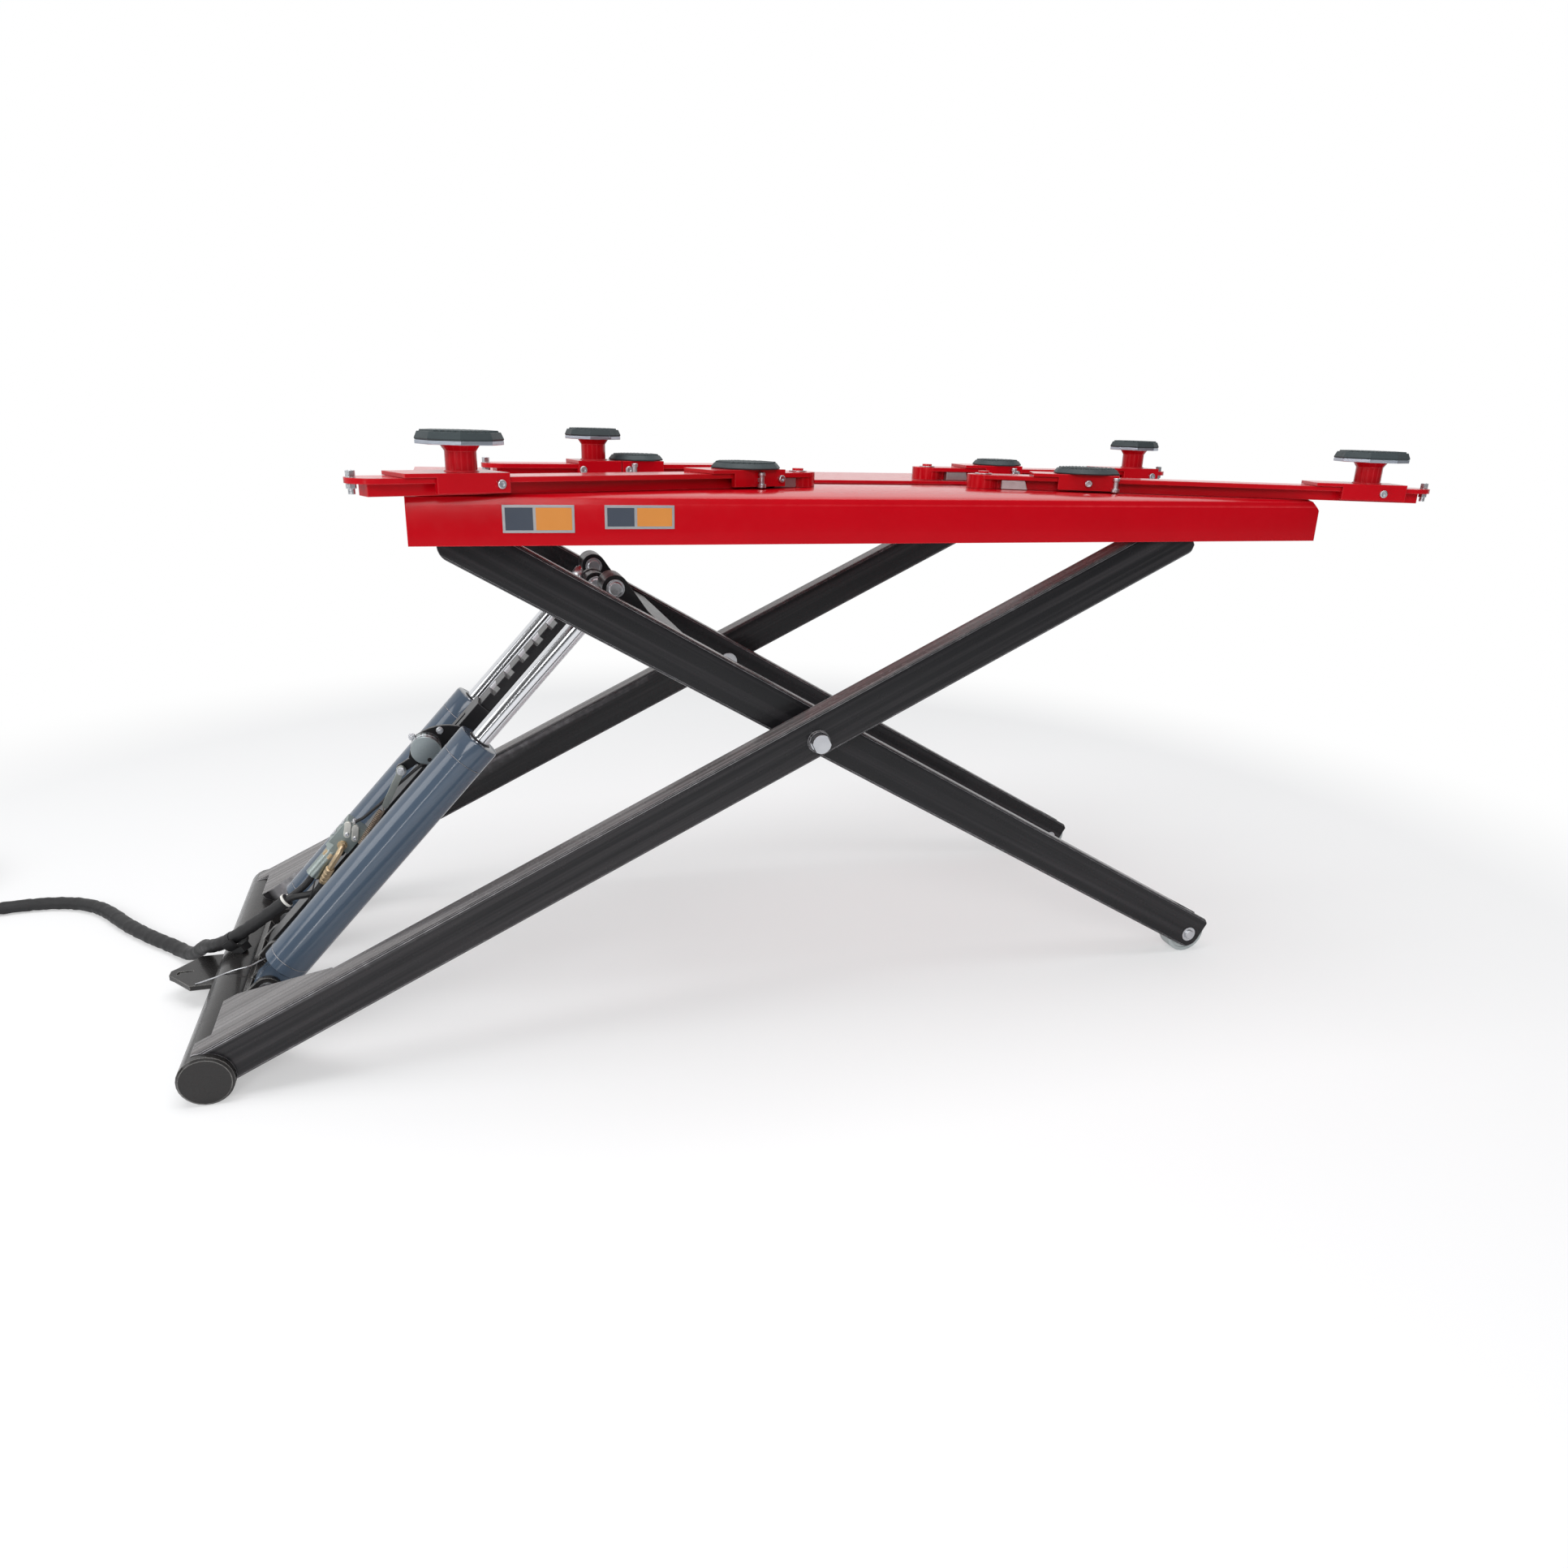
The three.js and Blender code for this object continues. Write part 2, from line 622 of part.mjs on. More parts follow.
function makeOuterLeg({ side, word }) {
  const pin = OUTER_LOWER + OUTER_UPPER;
  const tubeEnd = pin - FORK_LENGTH;
  const legEnd = pin + SLIDE_END_REACH;
  const [y0, y1] = across(side, OUTER_IN, OUTER_OUT);
  let leg = prismX(roundedBox(y0, y1, LEG_BOTTOM, LEG_TOP, LEG_CORNER), 0, legEnd);
  leg = leg.intersect(plateXZ(outerProfile(), y0, y1));
  leg = leg.add(makeGusset(side));
  const bore = block(0, tubeEnd - END_PLATE, y0 + LEG_WALL, y1 - LEG_WALL,
    LEG_BOTTOM + LEG_WALL, LEG_TOP - LEG_WALL);
  leg = leg.subtract(bore);
  leg = leg.subtract(forkSlot(tubeEnd, legEnd, y0, y1));
  leg = leg.add(pivotSleeve(y0, y1));
  const collar = across(side, OUTER_OUT - OVERRUN, OUTER_OUT + PIVOT_COLLAR_PROUD);
  leg = leg.add(barY(PIVOT_COLLAR_DIAMETER / 2, collar[0], collar[1], OUTER_LOWER, 0));
  const pivotHole = boreFor(PIVOT_PIN_DIAMETER);
  const trunnionHole = boreFor(TRUNNION_DIAMETER);
  const wide = BASE_WIDTH / 2 + PIVOT_COLLAR_PROUD;
  leg = leg.subtract(barY(pivotHole, -wide, wide, OUTER_LOWER, 0));
  const [t0, t1] = across(side, OUTER_IN - OVERRUN, OUTER_OUT - BLIND_WALL);
  leg = leg.subtract(barY(trunnionHole, t0, t1, pin, 0));
  leg = leg.subtract(saddleCut());
  return piece(`outer_leg_${word}`, leg, PAINT);
}

// The bush through a hollow leg that carries the pivot pin
function pivotSleeve(y0, y1) {
  return barY(PIVOT_BUSH_DIAMETER / 2, y0, y1, OUTER_LOWER, 0);
}

function makeGusset(side) {
  const inner = OUTER_IN - GUSSET_ACROSS;
  const shape = outline([
    [GUSSET_START, side * (OUTER_IN + LEG_CORNER)],
    [GUSSET_START, side * inner],
    [TUBE_RADIUS + GUSSET_INSET, side * inner],
    [GUSSET_ALONG, side * OUTER_IN],
    [GUSSET_ALONG, side * (OUTER_IN + LEG_CORNER)],
  ]);
  return plateXY(shape, LEG_BOTTOM + GUSSET_INSET, LEG_TOP);
}

SIDES.forEach((place) => outerFrame.add(makeOuterLeg(place)));

// Base lugs: a cross plate behind the tube with a pair of lugs for each cylinder and the safety bar

function makeBaseLugs() {
  const reach = OUTER_IN - GUSSET_ACROSS - RUN_GAP;
  const back = TUBE_RADIUS + SADDLE_GAP;
  const front = back + LUG_PLATE;
  let lugs = block(back - OVERRUN, front, -reach, reach, LEG_BOTTOM + GUSSET_INSET, LUG_PLATE_TOP);
  const half = EYE_WIDTH / 2 + LUG_SIDE_GAP;
  const foot = [[front - OVERRUN, LUG_PLATE_TOP], [front - OVERRUN, LEG_BOTTOM + GUSSET_INSET]];
  const addPair = (centreY, along, rise, inside) => {
    const shape = teardrop([along, rise], LUG_RADIUS, foot[0], foot[1]);
    lugs = lugs.add(plateXZ(shape, centreY - inside - LUG_THICKNESS, centreY - inside));
    lugs = lugs.add(plateXZ(shape, centreY + inside, centreY + inside + LUG_THICKNESS));
    const bore = boreFor(CYLINDER_PIN_DIAMETER);
    const far = inside + LUG_THICKNESS + OVERRUN;
    lugs = lugs.subtract(barY(bore, centreY - far, centreY + far, along, rise));
  };
  addPair(-CYLINDER_Y, LOWER_PIN_ALONG, LOWER_PIN_RISE, half);
  addPair(CYLINDER_Y, LOWER_PIN_ALONG, LOWER_PIN_RISE, half);
  addPair(0, SAFETY_LOWER_ALONG, SAFETY_LOWER_RISE, SLEEVE_WIDTH / 2 + LUG_SIDE_GAP);
  lugs = lugs.subtract(saddleCut());
  return piece('base_lugs', lugs, PAINT);
}

outerFrame.add(makeBaseLugs());

// Lower pins with a thin head at each end, standing proud of the lugs

function headedPin(radius, inside, centreY, along, rise) {
  const end = inside + LUG_THICKNESS + RUN_GAP;
  let pin = barY(radius, centreY - end - PIN_HEAD, centreY + end + PIN_HEAD, along, rise);
  const head = radius + PIN_HEAD;
  pin = pin.add(barY(head, centreY - end - PIN_HEAD, centreY - end, along, rise));
  return pin.add(barY(head, centreY + end, centreY + end + PIN_HEAD, along, rise));
}

SIDES.forEach(({ side, word }) => {
  const inside = EYE_WIDTH / 2 + LUG_SIDE_GAP;
  const radius = CYLINDER_PIN_DIAMETER / 2;
  const pin = headedPin(radius, inside, side * CYLINDER_Y, LOWER_PIN_ALONG, LOWER_PIN_RISE);
  outerFrame.add(piece(`lower_pin_${word}`, pin, ZINC));
});

function makeSafetyLowerPin() {
  const inside = SLEEVE_WIDTH / 2 + LUG_SIDE_GAP;
  const radius = CYLINDER_PIN_DIAMETER / 2;
  const pin = headedPin(radius, inside, 0, SAFETY_LOWER_ALONG, SAFETY_LOWER_RISE);
  return piece('safety_lower_pin', pin, ZINC);
}

outerFrame.add(makeSafetyLowerPin());

// Pivot pins with two flats on the end and a spacer between the legs

function makePivotPin({ side, word }) {
  const radius = PIVOT_PIN_DIAMETER / 2;
  const [y0, y1] = across(side, INNER_IN - PIN_HEAD - RUN_GAP, OUTER_OUT + PIVOT_PIN_PROUD);
  let pin = barY(radius, y0, y1, OUTER_LOWER, 0);
  const [s0, s1] = across(side, INNER_OUT + RUN_GAP, OUTER_IN - RUN_GAP);
  pin = pin.add(barY(PIVOT_BUSH_DIAMETER / 2, s0, s1, OUTER_LOWER, 0));
  const [h0, h1] = across(side, INNER_IN - PIN_HEAD - RUN_GAP, INNER_IN - RUN_GAP);
  pin = pin.add(barY(radius + PIN_HEAD, h0, h1, OUTER_LOWER, 0));
  const flatStart = OUTER_OUT + PIVOT_COLLAR_PROUD + RUN_GAP;
  const [f0, f1] = across(side, flatStart, OUTER_OUT + PIVOT_PIN_PROUD + OVERRUN);
  const flat = radius - PIVOT_FLAT_DEPTH;
  const beyond = radius + OVERRUN;
  pin = pin.subtract(block(OUTER_LOWER + flat, OUTER_LOWER + beyond, f0, f1, -beyond, beyond));
  pin = pin.subtract(block(OUTER_LOWER - beyond, OUTER_LOWER - flat, f0, f1, -beyond, beyond));
  return piece(`pivot_pin_${word}`, pin, ZINC);
}

SIDES.forEach((place) => outerFrame.add(makePivotPin(place)));

// Hitch plate with a hooked slot, welded to the left side of the base tube

function makeHitchPlate() {
  const back = TUBE_RADIUS + SADDLE_GAP;
  const tip = back + HITCH_REACH;
  const half = HITCH_WIDTH / 2;
  const nose = HITCH_NOSE / 2;
  const shape = outline([
    [0, HITCH_Y - half],
    [0, HITCH_Y + half],
    [-back - HITCH_SHOULDER, HITCH_Y + half],
    [-tip + HITCH_CORNER, HITCH_Y + nose],
    [-tip, HITCH_Y + nose - HITCH_CORNER],
    [-tip, HITCH_Y - nose + HITCH_CORNER],
    [-tip + HITCH_CORNER, HITCH_Y - nose],
    [-back - HITCH_SHOULDER, HITCH_Y - half],
  ].reverse());
  let plate = plateXY(shape, -HITCH_THICKNESS / 2, HITCH_THICKNESS / 2);
  const slotRight = -back - HITCH_SLOT_START;
  const slotLeft = slotRight - HITCH_SLOT_LENGTH;
  const w = HITCH_SLOT_WIDTH / 2;
  const deep = HITCH_THICKNESS;
  plate = plate.subtract(block(slotLeft, slotRight, HITCH_Y - w, HITCH_Y + w, -deep, deep));
  plate = plate.subtract(block(slotLeft, slotLeft + HITCH_SLOT_WIDTH, HITCH_Y - HITCH_SLOT_HOOK, HITCH_Y,
    -deep, deep));
  plate = plate.subtract(saddleCut());
  const mesh = piece('hitch_plate', plate, PAINT);
  mesh.position.copy(BASE_AXIS);
  return mesh;
}

lift.add(makeHitchPlate());

// Slide blocks at the top of the outer legs: they stay level in the platform's tracks

function makeSlideBlock({ side, word }) {
  const cheekIn = OUTER_IN + CHEEK_THICKNESS + ROLLER_SIDE_GAP;
  const cheekOut = OUTER_OUT - CHEEK_THICKNESS - ROLLER_SIDE_GAP;
  const [y0, y1] = across(side, cheekIn, cheekOut);
  const top = TRACK_RISE - BLOCK_TOP_GAP;
  let solid = block(-BLOCK_HALF_LENGTH, BLOCK_HALF_LENGTH, y0, y1, -BLOCK_DROP, top);
  const [t0, t1] = across(side, OUTER_IN + RUN_GAP, OUTER_OUT - BLIND_WALL - BLIND_GAP);
  solid = solid.add(barY(TRUNNION_DIAMETER / 2, t0, t1, 0, 0));
  const mesh = piece(`slide_block_${word}`, solid, NYLON);
  mesh.position.copy(SLIDE_PIN);
  return mesh;
}

SIDES.forEach((place) => lift.add(makeSlideBlock(place)));

// Inner legs: a rounded upper end for the platform pin and a fork for the floor roller

function makeInnerLeg({ side, word }) {
  const [y0, y1] = across(side, INNER_IN, INNER_OUT);
  const tubeEnd = INNER_LOWER - FORK_LENGTH;
  const legEnd = INNER_LOWER + ROUND_END;
  const section = roundedBox(y0, y1, LEG_BOTTOM, LEG_TOP, LEG_CORNER);
  let leg = prismX(section, -INNER_UPPER - ROUND_END, legEnd);
  leg = leg.intersect(plateXZ(innerProfile(), y0, y1));
  const bore = block(-INNER_UPPER + LEG_DEPTH, tubeEnd + OVERRUN, y0 + LEG_WALL, y1 - LEG_WALL,
    LEG_BOTTOM + LEG_WALL, LEG_TOP - LEG_WALL);
  leg = leg.subtract(bore);
  leg = leg.subtract(forkSlot(tubeEnd, legEnd, y0, y1));
  leg = leg.add(barY(PIVOT_BUSH_DIAMETER / 2, y0, y1, 0, 0));
  const wide = BASE_WIDTH / 2;
  leg = leg.subtract(barY(boreFor(PIVOT_PIN_DIAMETER), -wide, wide, 0, 0));
  const [p0, p1] = across(side, INNER_IN - OVERRUN, INNER_OUT - BLIND_WALL);
  leg = leg.subtract(barY(boreFor(PLATFORM_PIN_DIAMETER), p0, p1, -INNER_UPPER, 0));
  leg = leg.subtract(barY(boreFor(ROLLER_PIN_DIAMETER), -wide, wide, INNER_LOWER, 0));
  return piece(`inner_leg_${word}`, leg, PAINT);
}

SIDES.forEach((place) => innerFrame.add(makeInnerLeg(place)));

// Cross beam with its clevis lugs, welded between the inner legs

function makeCrossBeam() {
  const reach = INNER_IN - RUN_GAP;
  const left = -BEAM_ALONG - BEAM_SIZE / 2;
  const right = -BEAM_ALONG + BEAM_SIZE / 2;
  const bottom = LEG_OFFSET - BEAM_SIZE / 2;
  const top = LEG_OFFSET + BEAM_SIZE / 2;
  let beam = block(left, right, -reach, reach, bottom, top);
  const wall = BEAM_WALL;
  beam = beam.subtract(block(left + wall, right - wall, -BASE_WIDTH, BASE_WIDTH, bottom + wall, top - wall));
  const feet = [[left + LUG_FOOT_BACK, -LUG_FOOT_DROP], [left + LUG_FOOT_BACK * 2, LUG_FOOT_RISE]];
  const addPair = (centreY, along, rise, inside) => {
    const shape = teardrop([-along, rise], LUG_RADIUS, feet[0], feet[1]);
    beam = beam.add(plateXZ(shape, centreY - inside - LUG_THICKNESS, centreY - inside));
    beam = beam.add(plateXZ(shape, centreY + inside, centreY + inside + LUG_THICKNESS));
  };
  const inside = EYE_WIDTH / 2 + LUG_SIDE_GAP;
  addPair(-CYLINDER_Y, CLEVIS_ALONG, CLEVIS_RISE, inside);
  addPair(CYLINDER_Y, CLEVIS_ALONG, CLEVIS_RISE, inside);
  addPair(0, SAFETY_UPPER_ALONG, SAFETY_UPPER_RISE, inside);
  return piece('cross_beam', beam, PAINT);
}

innerFrame.add(makeCrossBeam());

// Floor rollers and their pins

function makeRollerPin({ side, word }) {
  const [y0, y1] = across(side, INNER_IN - PIN_HEAD - RUN_GAP, INNER_OUT + ROLLER_PIN_PROUD);
  let pin = barY(ROLLER_PIN_DIAMETER / 2, y0, y1, INNER_LOWER, 0);
  const [h0, h1] = across(side, INNER_IN - PIN_HEAD - RUN_GAP, INNER_IN - RUN_GAP);
  pin = pin.add(barY(ROLLER_PIN_DIAMETER / 2 + PIN_HEAD, h0, h1, INNER_LOWER, 0));
  return piece(`roller_pin_${word}`, pin, ZINC);
}

function makeFloorRoller({ side, word }) {
  const [y0, y1] = across(side, INNER_IN + CHEEK_THICKNESS + ROLLER_SIDE_GAP,
    INNER_OUT - CHEEK_THICKNESS - ROLLER_SIDE_GAP);
  let roller = barY(TUBE_RADIUS, y0, y1, 0, 0, ROUND_SIDES);
  const rim = TUBE_RADIUS - LEG_CORNER;
  let dish = barY(rim, y0 - OVERRUN, y0 + ROLLER_DISH, 0, 0, ROUND_SIDES);
  dish = dish.add(barY(rim, y1 - ROLLER_DISH, y1 + OVERRUN, 0, 0, ROUND_SIDES));
  dish = dish.subtract(barY(ROLLER_HUB_DIAMETER / 2, y0 - OVERRUN * 2, y1 + OVERRUN * 2, 0, 0));
  roller = roller.subtract(dish);
  const wide = BASE_WIDTH / 2;
  roller = roller.subtract(barY(boreFor(ROLLER_PIN_DIAMETER), -wide, wide, 0, 0));
  const mesh = piece(`floor_roller_${word}`, roller, NYLON);
  mesh.position.copy(ROLLER_PIN);
  return mesh;
}

SIDES.forEach((place) => {
  innerFrame.add(makeRollerPin(place));
  lift.add(makeFloorRoller(place));
});

// Hydraulic cylinders: barrel with an eye below and a gland head above, and a chromed rod

function makeBarrel() {
  const r = BARREL_DIAMETER / 2;
  const seams = [BARREL_START + BARREL_BOTTOM, BARREL_LENGTH - GLAND_LENGTH];
  const profile = [
    [BARREL_START, 0],
    [BARREL_START, r - BARREL_CHAMFER],
    [BARREL_START + BARREL_CHAMFER, r],
  ];
  seams.forEach((seam) => {
    profile.push([seam - SEAM_WIDTH / 2, r], [seam, r - SEAM_DEPTH], [seam + SEAM_WIDTH / 2, r]);
  });
  profile.push(
    [BARREL_LENGTH - BARREL_CHAMFER, r],
    [BARREL_LENGTH, r - BARREL_CHAMFER],
    [BARREL_LENGTH, 0],
  );
  let barrel = turnedX(profile);
  const neck = BARREL_EYE_RADIUS * 2 - BARREL_CHAMFER;
  const halfEye = EYE_WIDTH / 2;
  barrel = barrel.add(barY(BARREL_EYE_RADIUS, -halfEye, halfEye, 0, 0));
  barrel = barrel.add(block(0, BARREL_START + OVERRUN, -halfEye, halfEye, -neck / 2, neck / 2));
  barrel = barrel.subtract(barX(BARREL_BORE / 2, BARREL_START + BARREL_BOTTOM, BARREL_LENGTH - GLAND_LENGTH,
    0, 0, ROUND_SIDES));
  barrel = barrel.subtract(barX(boreFor(ROD_DIAMETER), BARREL_LENGTH - GLAND_LENGTH - OVERRUN,
    BARREL_LENGTH + OVERRUN, 0, 0, PIN_SIDES));
  barrel = barrel.subtract(barY(boreFor(CYLINDER_PIN_DIAMETER), -EYE_WIDTH, EYE_WIDTH, 0, 0));
  return barrel;
}

function makeRod() {
  const halfEye = EYE_WIDTH / 2;
  let rod = barX(ROD_DIAMETER / 2, PISTON_PLACE, CYLINDER_LENGTH, 0, 0, PIN_SIDES);
  const piston = BARREL_BORE / 2 - PISTON_GAP;
  rod = rod.add(barX(piston, PISTON_PLACE, PISTON_PLACE + PISTON_LENGTH, 0, 0, PIN_SIDES));
  rod = rod.add(barY(ROD_EYE_RADIUS, -halfEye, halfEye, CYLINDER_LENGTH, 0));
  return rod;
}

function cylinderGroup(y) {
  const group = new THREE.Group();
  group.position.copy(CYLINDER_LOWER);
  group.position.y = y;
  group.rotation.y = -CYLINDER_SLOPE;
  return group;
}

SIDES.forEach(({ side, word }) => {
  const group = cylinderGroup(side * CYLINDER_Y);
  group.add(piece(`barrel_${word}`, makeBarrel(), BARREL_GREY));
  group.add(piece(`rod_${word}`, makeRod(), CHROME));
  lift.add(group);
});

// Safety bar group, whose X runs from its lower pin to its upper one

const safety = new THREE.Group();
safety.position.copy(SAFETY_LOWER);
safety.rotation.y = -SAFETY_SLOPE;
lift.add(safety);

function makeSafetySleeve() {
  const halfWide = SLEEVE_WIDTH / 2;
  const halfDeep = SLEEVE_DEPTH / 2;
  let sleeve = block(0, SLEEVE_END, -halfWide, halfWide, -halfDeep, halfDeep);
  sleeve = sleeve.add(barY(halfDeep, -halfWide, halfWide, 0, 0));
  const wall = SLEEVE_WALL;
  sleeve = sleeve.subtract(block(SLEEVE_START, SLEEVE_END + OVERRUN, -halfWide + wall, halfWide - wall,
    -halfDeep + wall, halfDeep - wall));
  const slot = SLEEVE_SLOT_LENGTH / 2;
  const slotWide = SLEEVE_SLOT_WIDTH / 2;
  sleeve = sleeve.subtract(block(SLEEVE_SLOT_PLACE - slot, SLEEVE_SLOT_PLACE + slot, -slotWide, slotWide,
    0, halfDeep + OVERRUN));
  sleeve = sleeve.subtract(barY(boreFor(CYLINDER_PIN_DIAMETER), -SLEEVE_WIDTH, SLEEVE_WIDTH, 0, 0));
  const post = LEVER_Y + LEVER_THICKNESS + RUN_GAP;
  sleeve = sleeve.add(barY(POST_RADIUS, -post, -halfWide + wall / 2, SPRING_FOOT_PLACE,
    SPRING_FOOT_RISE - POST_RADIUS, SMALL_SIDES));
  return piece('safety_sleeve', sleeve, PAINT);
}

function makeSafetyBar() {
  const halfWide = SLEEVE_WIDTH / 2 - SLEEVE_WALL - SAFETY_BAR_CLEARANCE;
  const halfDeep = SLEEVE_DEPTH / 2 - SLEEVE_WALL - SAFETY_BAR_CLEARANCE;
  let bar = block(SAFETY_BAR_START, SAFETY_LENGTH, -halfWide, halfWide, -halfDeep, halfDeep);
  const halfEye = EYE_WIDTH / 2;
  const neck = SAFETY_LENGTH - SAFETY_NECK;
  for (let i = 0; i < TOOTH_COUNT; i += 1) {
    const start = TOOTH_START + i * TOOTH_PITCH;
    bar = bar.subtract(block(start, start + TOOTH_LENGTH, -halfWide - OVERRUN, halfWide + OVERRUN,
      halfDeep - TOOTH_DEPTH, halfDeep + OVERRUN));
  }
  const beyond = SAFETY_LENGTH + OVERRUN;
  bar = bar.subtract(block(neck, beyond, halfEye, SLEEVE_WIDTH, -SLEEVE_DEPTH, SLEEVE_DEPTH));
  bar = bar.subtract(block(neck, beyond, -SLEEVE_WIDTH, -halfEye, -SLEEVE_DEPTH, SLEEVE_DEPTH));
  bar = bar.add(barY(SAFETY_EYE_RADIUS, -halfEye, halfEye, SAFETY_LENGTH, 0));
  return piece('safety_bar', bar, PAINT);
}

safety.add(makeSafetySleeve(), makeSafetyBar());

// Air actuator and its bracket, on the near side of the sleeve

function makeActuator() {
  const face = -SLEEVE_WIDTH / 2 - RUN_GAP;
  const shape = new THREE.Shape();
  shape.moveTo(BRACKET_START, -BRACKET_DROP);
  shape.lineTo(BRACKET_START + BRACKET_LENGTH, -BRACKET_DROP);
  shape.lineTo(BRACKET_START + BRACKET_LENGTH, BRACKET_DROP);
  shape.quadraticCurveTo(
    BRACKET_START + BRACKET_LENGTH * BRACKET_BEND_SHARE, BRACKET_RISE,
    BRACKET_START + BRACKET_LENGTH * BRACKET_CREST_SHARE, BRACKET_RISE + BRACKET_DROP / 2,
  );
  shape.lineTo(BRACKET_START, BRACKET_RISE - BRACKET_DROP);
  shape.closePath();
  const back = face - BRACKET_THICKNESS;
  let actuator = plateXZ(shape, back, face);
  const r = ACTUATOR_DIAMETER / 2;
  const front = back - ACTUATOR_LENGTH;
  actuator = actuator.add(barY(r, front + ACTUATOR_RIM, face, ACTUATOR_PLACE, ACTUATOR_RISE, PIN_SIDES));
  actuator = actuator.add(barY(r - ACTUATOR_RIM, front, face, ACTUATOR_PLACE, ACTUATOR_RISE, PIN_SIDES));
  const leverPost = -LEVER_Y - LEVER_THICKNESS - RUN_GAP;
  const arm = outline([
    [LEVER_PIVOT_PLACE, LEVER_PIVOT_RISE - LEVER_EYE_RADIUS],
    [BRACKET_START + OVERRUN, LEVER_PIVOT_RISE - LEVER_EYE_RADIUS * 2],
    [BRACKET_START + OVERRUN, LEVER_PIVOT_RISE],
    [LEVER_PIVOT_PLACE, LEVER_PIVOT_RISE + LEVER_EYE_RADIUS],
  ]);
  actuator = actuator.add(plateXZ(arm, back, face));
  actuator = actuator.add(barY(LEVER_EYE_RADIUS, back, face, LEVER_PIVOT_PLACE, LEVER_PIVOT_RISE,
    SMALL_SIDES));
  actuator = actuator.add(barY(LEVER_PIVOT_DIAMETER / 2, leverPost, face, LEVER_PIVOT_PLACE, LEVER_PIVOT_RISE,
    SMALL_SIDES));
  return piece('release_actuator', actuator, ZINC);
}

// Release lever: it turns on the actuator's stud, and the spring pulls its tail

function makeLever() {
  const y0 = -LEVER_Y - LEVER_THICKNESS;
  const y1 = -LEVER_Y;
  const pivot = [0, 0];
  const tail = [-LEVER_TAIL, -LEVER_TAIL_DROP];
  let lever = barY(LEVER_EYE_RADIUS + RUN_GAP, y0, y1, pivot[0], pivot[1], SMALL_SIDES);
  lever = lever.add(barY(LEVER_TIP_RADIUS, y0, y1, tail[0], tail[1], SMALL_SIDES));
  const lean = Math.atan2(tail[1], tail[0]);
  const nx = -Math.sin(lean) * LEVER_TIP_RADIUS;
  const nz = Math.cos(lean) * LEVER_TIP_RADIUS;
  const stem = outline([
    [pivot[0] - nx, pivot[1] - nz],
    [pivot[0] + nx, pivot[1] + nz],
    [tail[0] + nx, tail[1] + nz],
    [tail[0] - nx, tail[1] - nz],
  ].reverse());
  lever = lever.add(plateXZ(stem, y0, y1));
  const bore = boreFor(LEVER_PIVOT_DIAMETER, SMALL_SIDES);
  lever = lever.subtract(barY(bore, y0 - OVERRUN, y1 + OVERRUN, 0, 0, SMALL_SIDES));
  const mesh = piece('release_lever', lever, ZINC);
  mesh.position.set(LEVER_PIVOT_PLACE, 0, LEVER_PIVOT_RISE);
  return mesh;
}

// A tube of few sides along a curve, with flat ends

function tubeAlong(curve, radius, sides, steps) {
  const section = new THREE.Shape();
  for (let i = 0; i < sides; i += 1) {
    const angle = (i + 0.5) * Math.PI * 2 / sides;
    const u = radius * Math.cos(angle);
    const v = radius * Math.sin(angle);
    if (i === 0) section.moveTo(u, v);
    else section.lineTo(u, v);
  }
  section.closePath();
  return new THREE.ExtrudeGeometry(section, { steps, extrudePath: curve, bevelEnabled: false });
}

// The least gap between two turns of a wound tube, measured on points along it
function leastGap(points, spacing, diameter) {
  let least = Infinity;
  points.forEach((a, i) => {
    for (let j = i + spacing; j < points.length; j += 1) {
      least = Math.min(least, a.distanceTo(points[j]));
    }
  });
  return least - diameter;
}

// Return spring: a helix between the sleeve's post and the lever's tail

class SpringCurve extends THREE.Curve {
  constructor(start, end, radius, curls, straight) {
    super();
    this.start = start;
    this.axis = end.clone().sub(start);
    this.length = this.axis.length();
    this.axis.normalize();
    this.up = new THREE.Vector3(0, 1, 0);
    this.out = this.up.clone().cross(this.axis).normalize();
    this.radius = radius;
    this.curls = curls;
    this.straight = straight;
  }

  getPoint(t) {
    const along = t * this.length;
    const wound = this.length - this.straight * 2;
    const share = THREE.MathUtils.clamp((along - this.straight) / wound, 0, 1);
    const turn = share * this.curls * Math.PI * 2;
    const ramp = Math.min(along, this.length - along) / this.straight;
    const r = this.radius * THREE.MathUtils.clamp(ramp, 0, 1);
    const point = this.start.clone().addScaledVector(this.axis, along);
    point.addScaledVector(this.up, r * Math.sin(turn));
    return point.addScaledVector(this.out, r * Math.cos(turn));
  }
}

function makeSpring() {
  const y = -LEVER_Y - LEVER_THICKNESS / 2;
  const foot = new THREE.Vector3(SPRING_FOOT_PLACE + POST_RADIUS + SPRING_GAP, y, SPRING_FOOT_RISE);
  const tailX = LEVER_PIVOT_PLACE - LEVER_TAIL - LEVER_TIP_RADIUS - SPRING_GAP;
  const tail = new THREE.Vector3(tailX, y, LEVER_PIVOT_RISE - LEVER_TAIL_DROP);
  const radius = (SPRING_DIAMETER - SPRING_WIRE) / 2;
  const curve = new SpringCurve(foot, tail, radius, SPRING_CURLS, SPRING_HOOK);
  const steps = SPRING_CURLS * SPRING_CURL_STEPS;
  const points = Array.from({ length: steps + 1 }, (_, i) => curve.getPoint(i / steps));
  const gap = leastGap(points, SPRING_CURL_STEPS - 2, SPRING_WIRE);
  console.log('return spring, least gap between curls', gap.toFixed(2));
  return piece('return_spring', tubeAlong(curve, SPRING_WIRE / 2, SPRING_SIDES, steps), ZINC);
}

// Valve block with two crimped hose fittings, on the near side of the sleeve

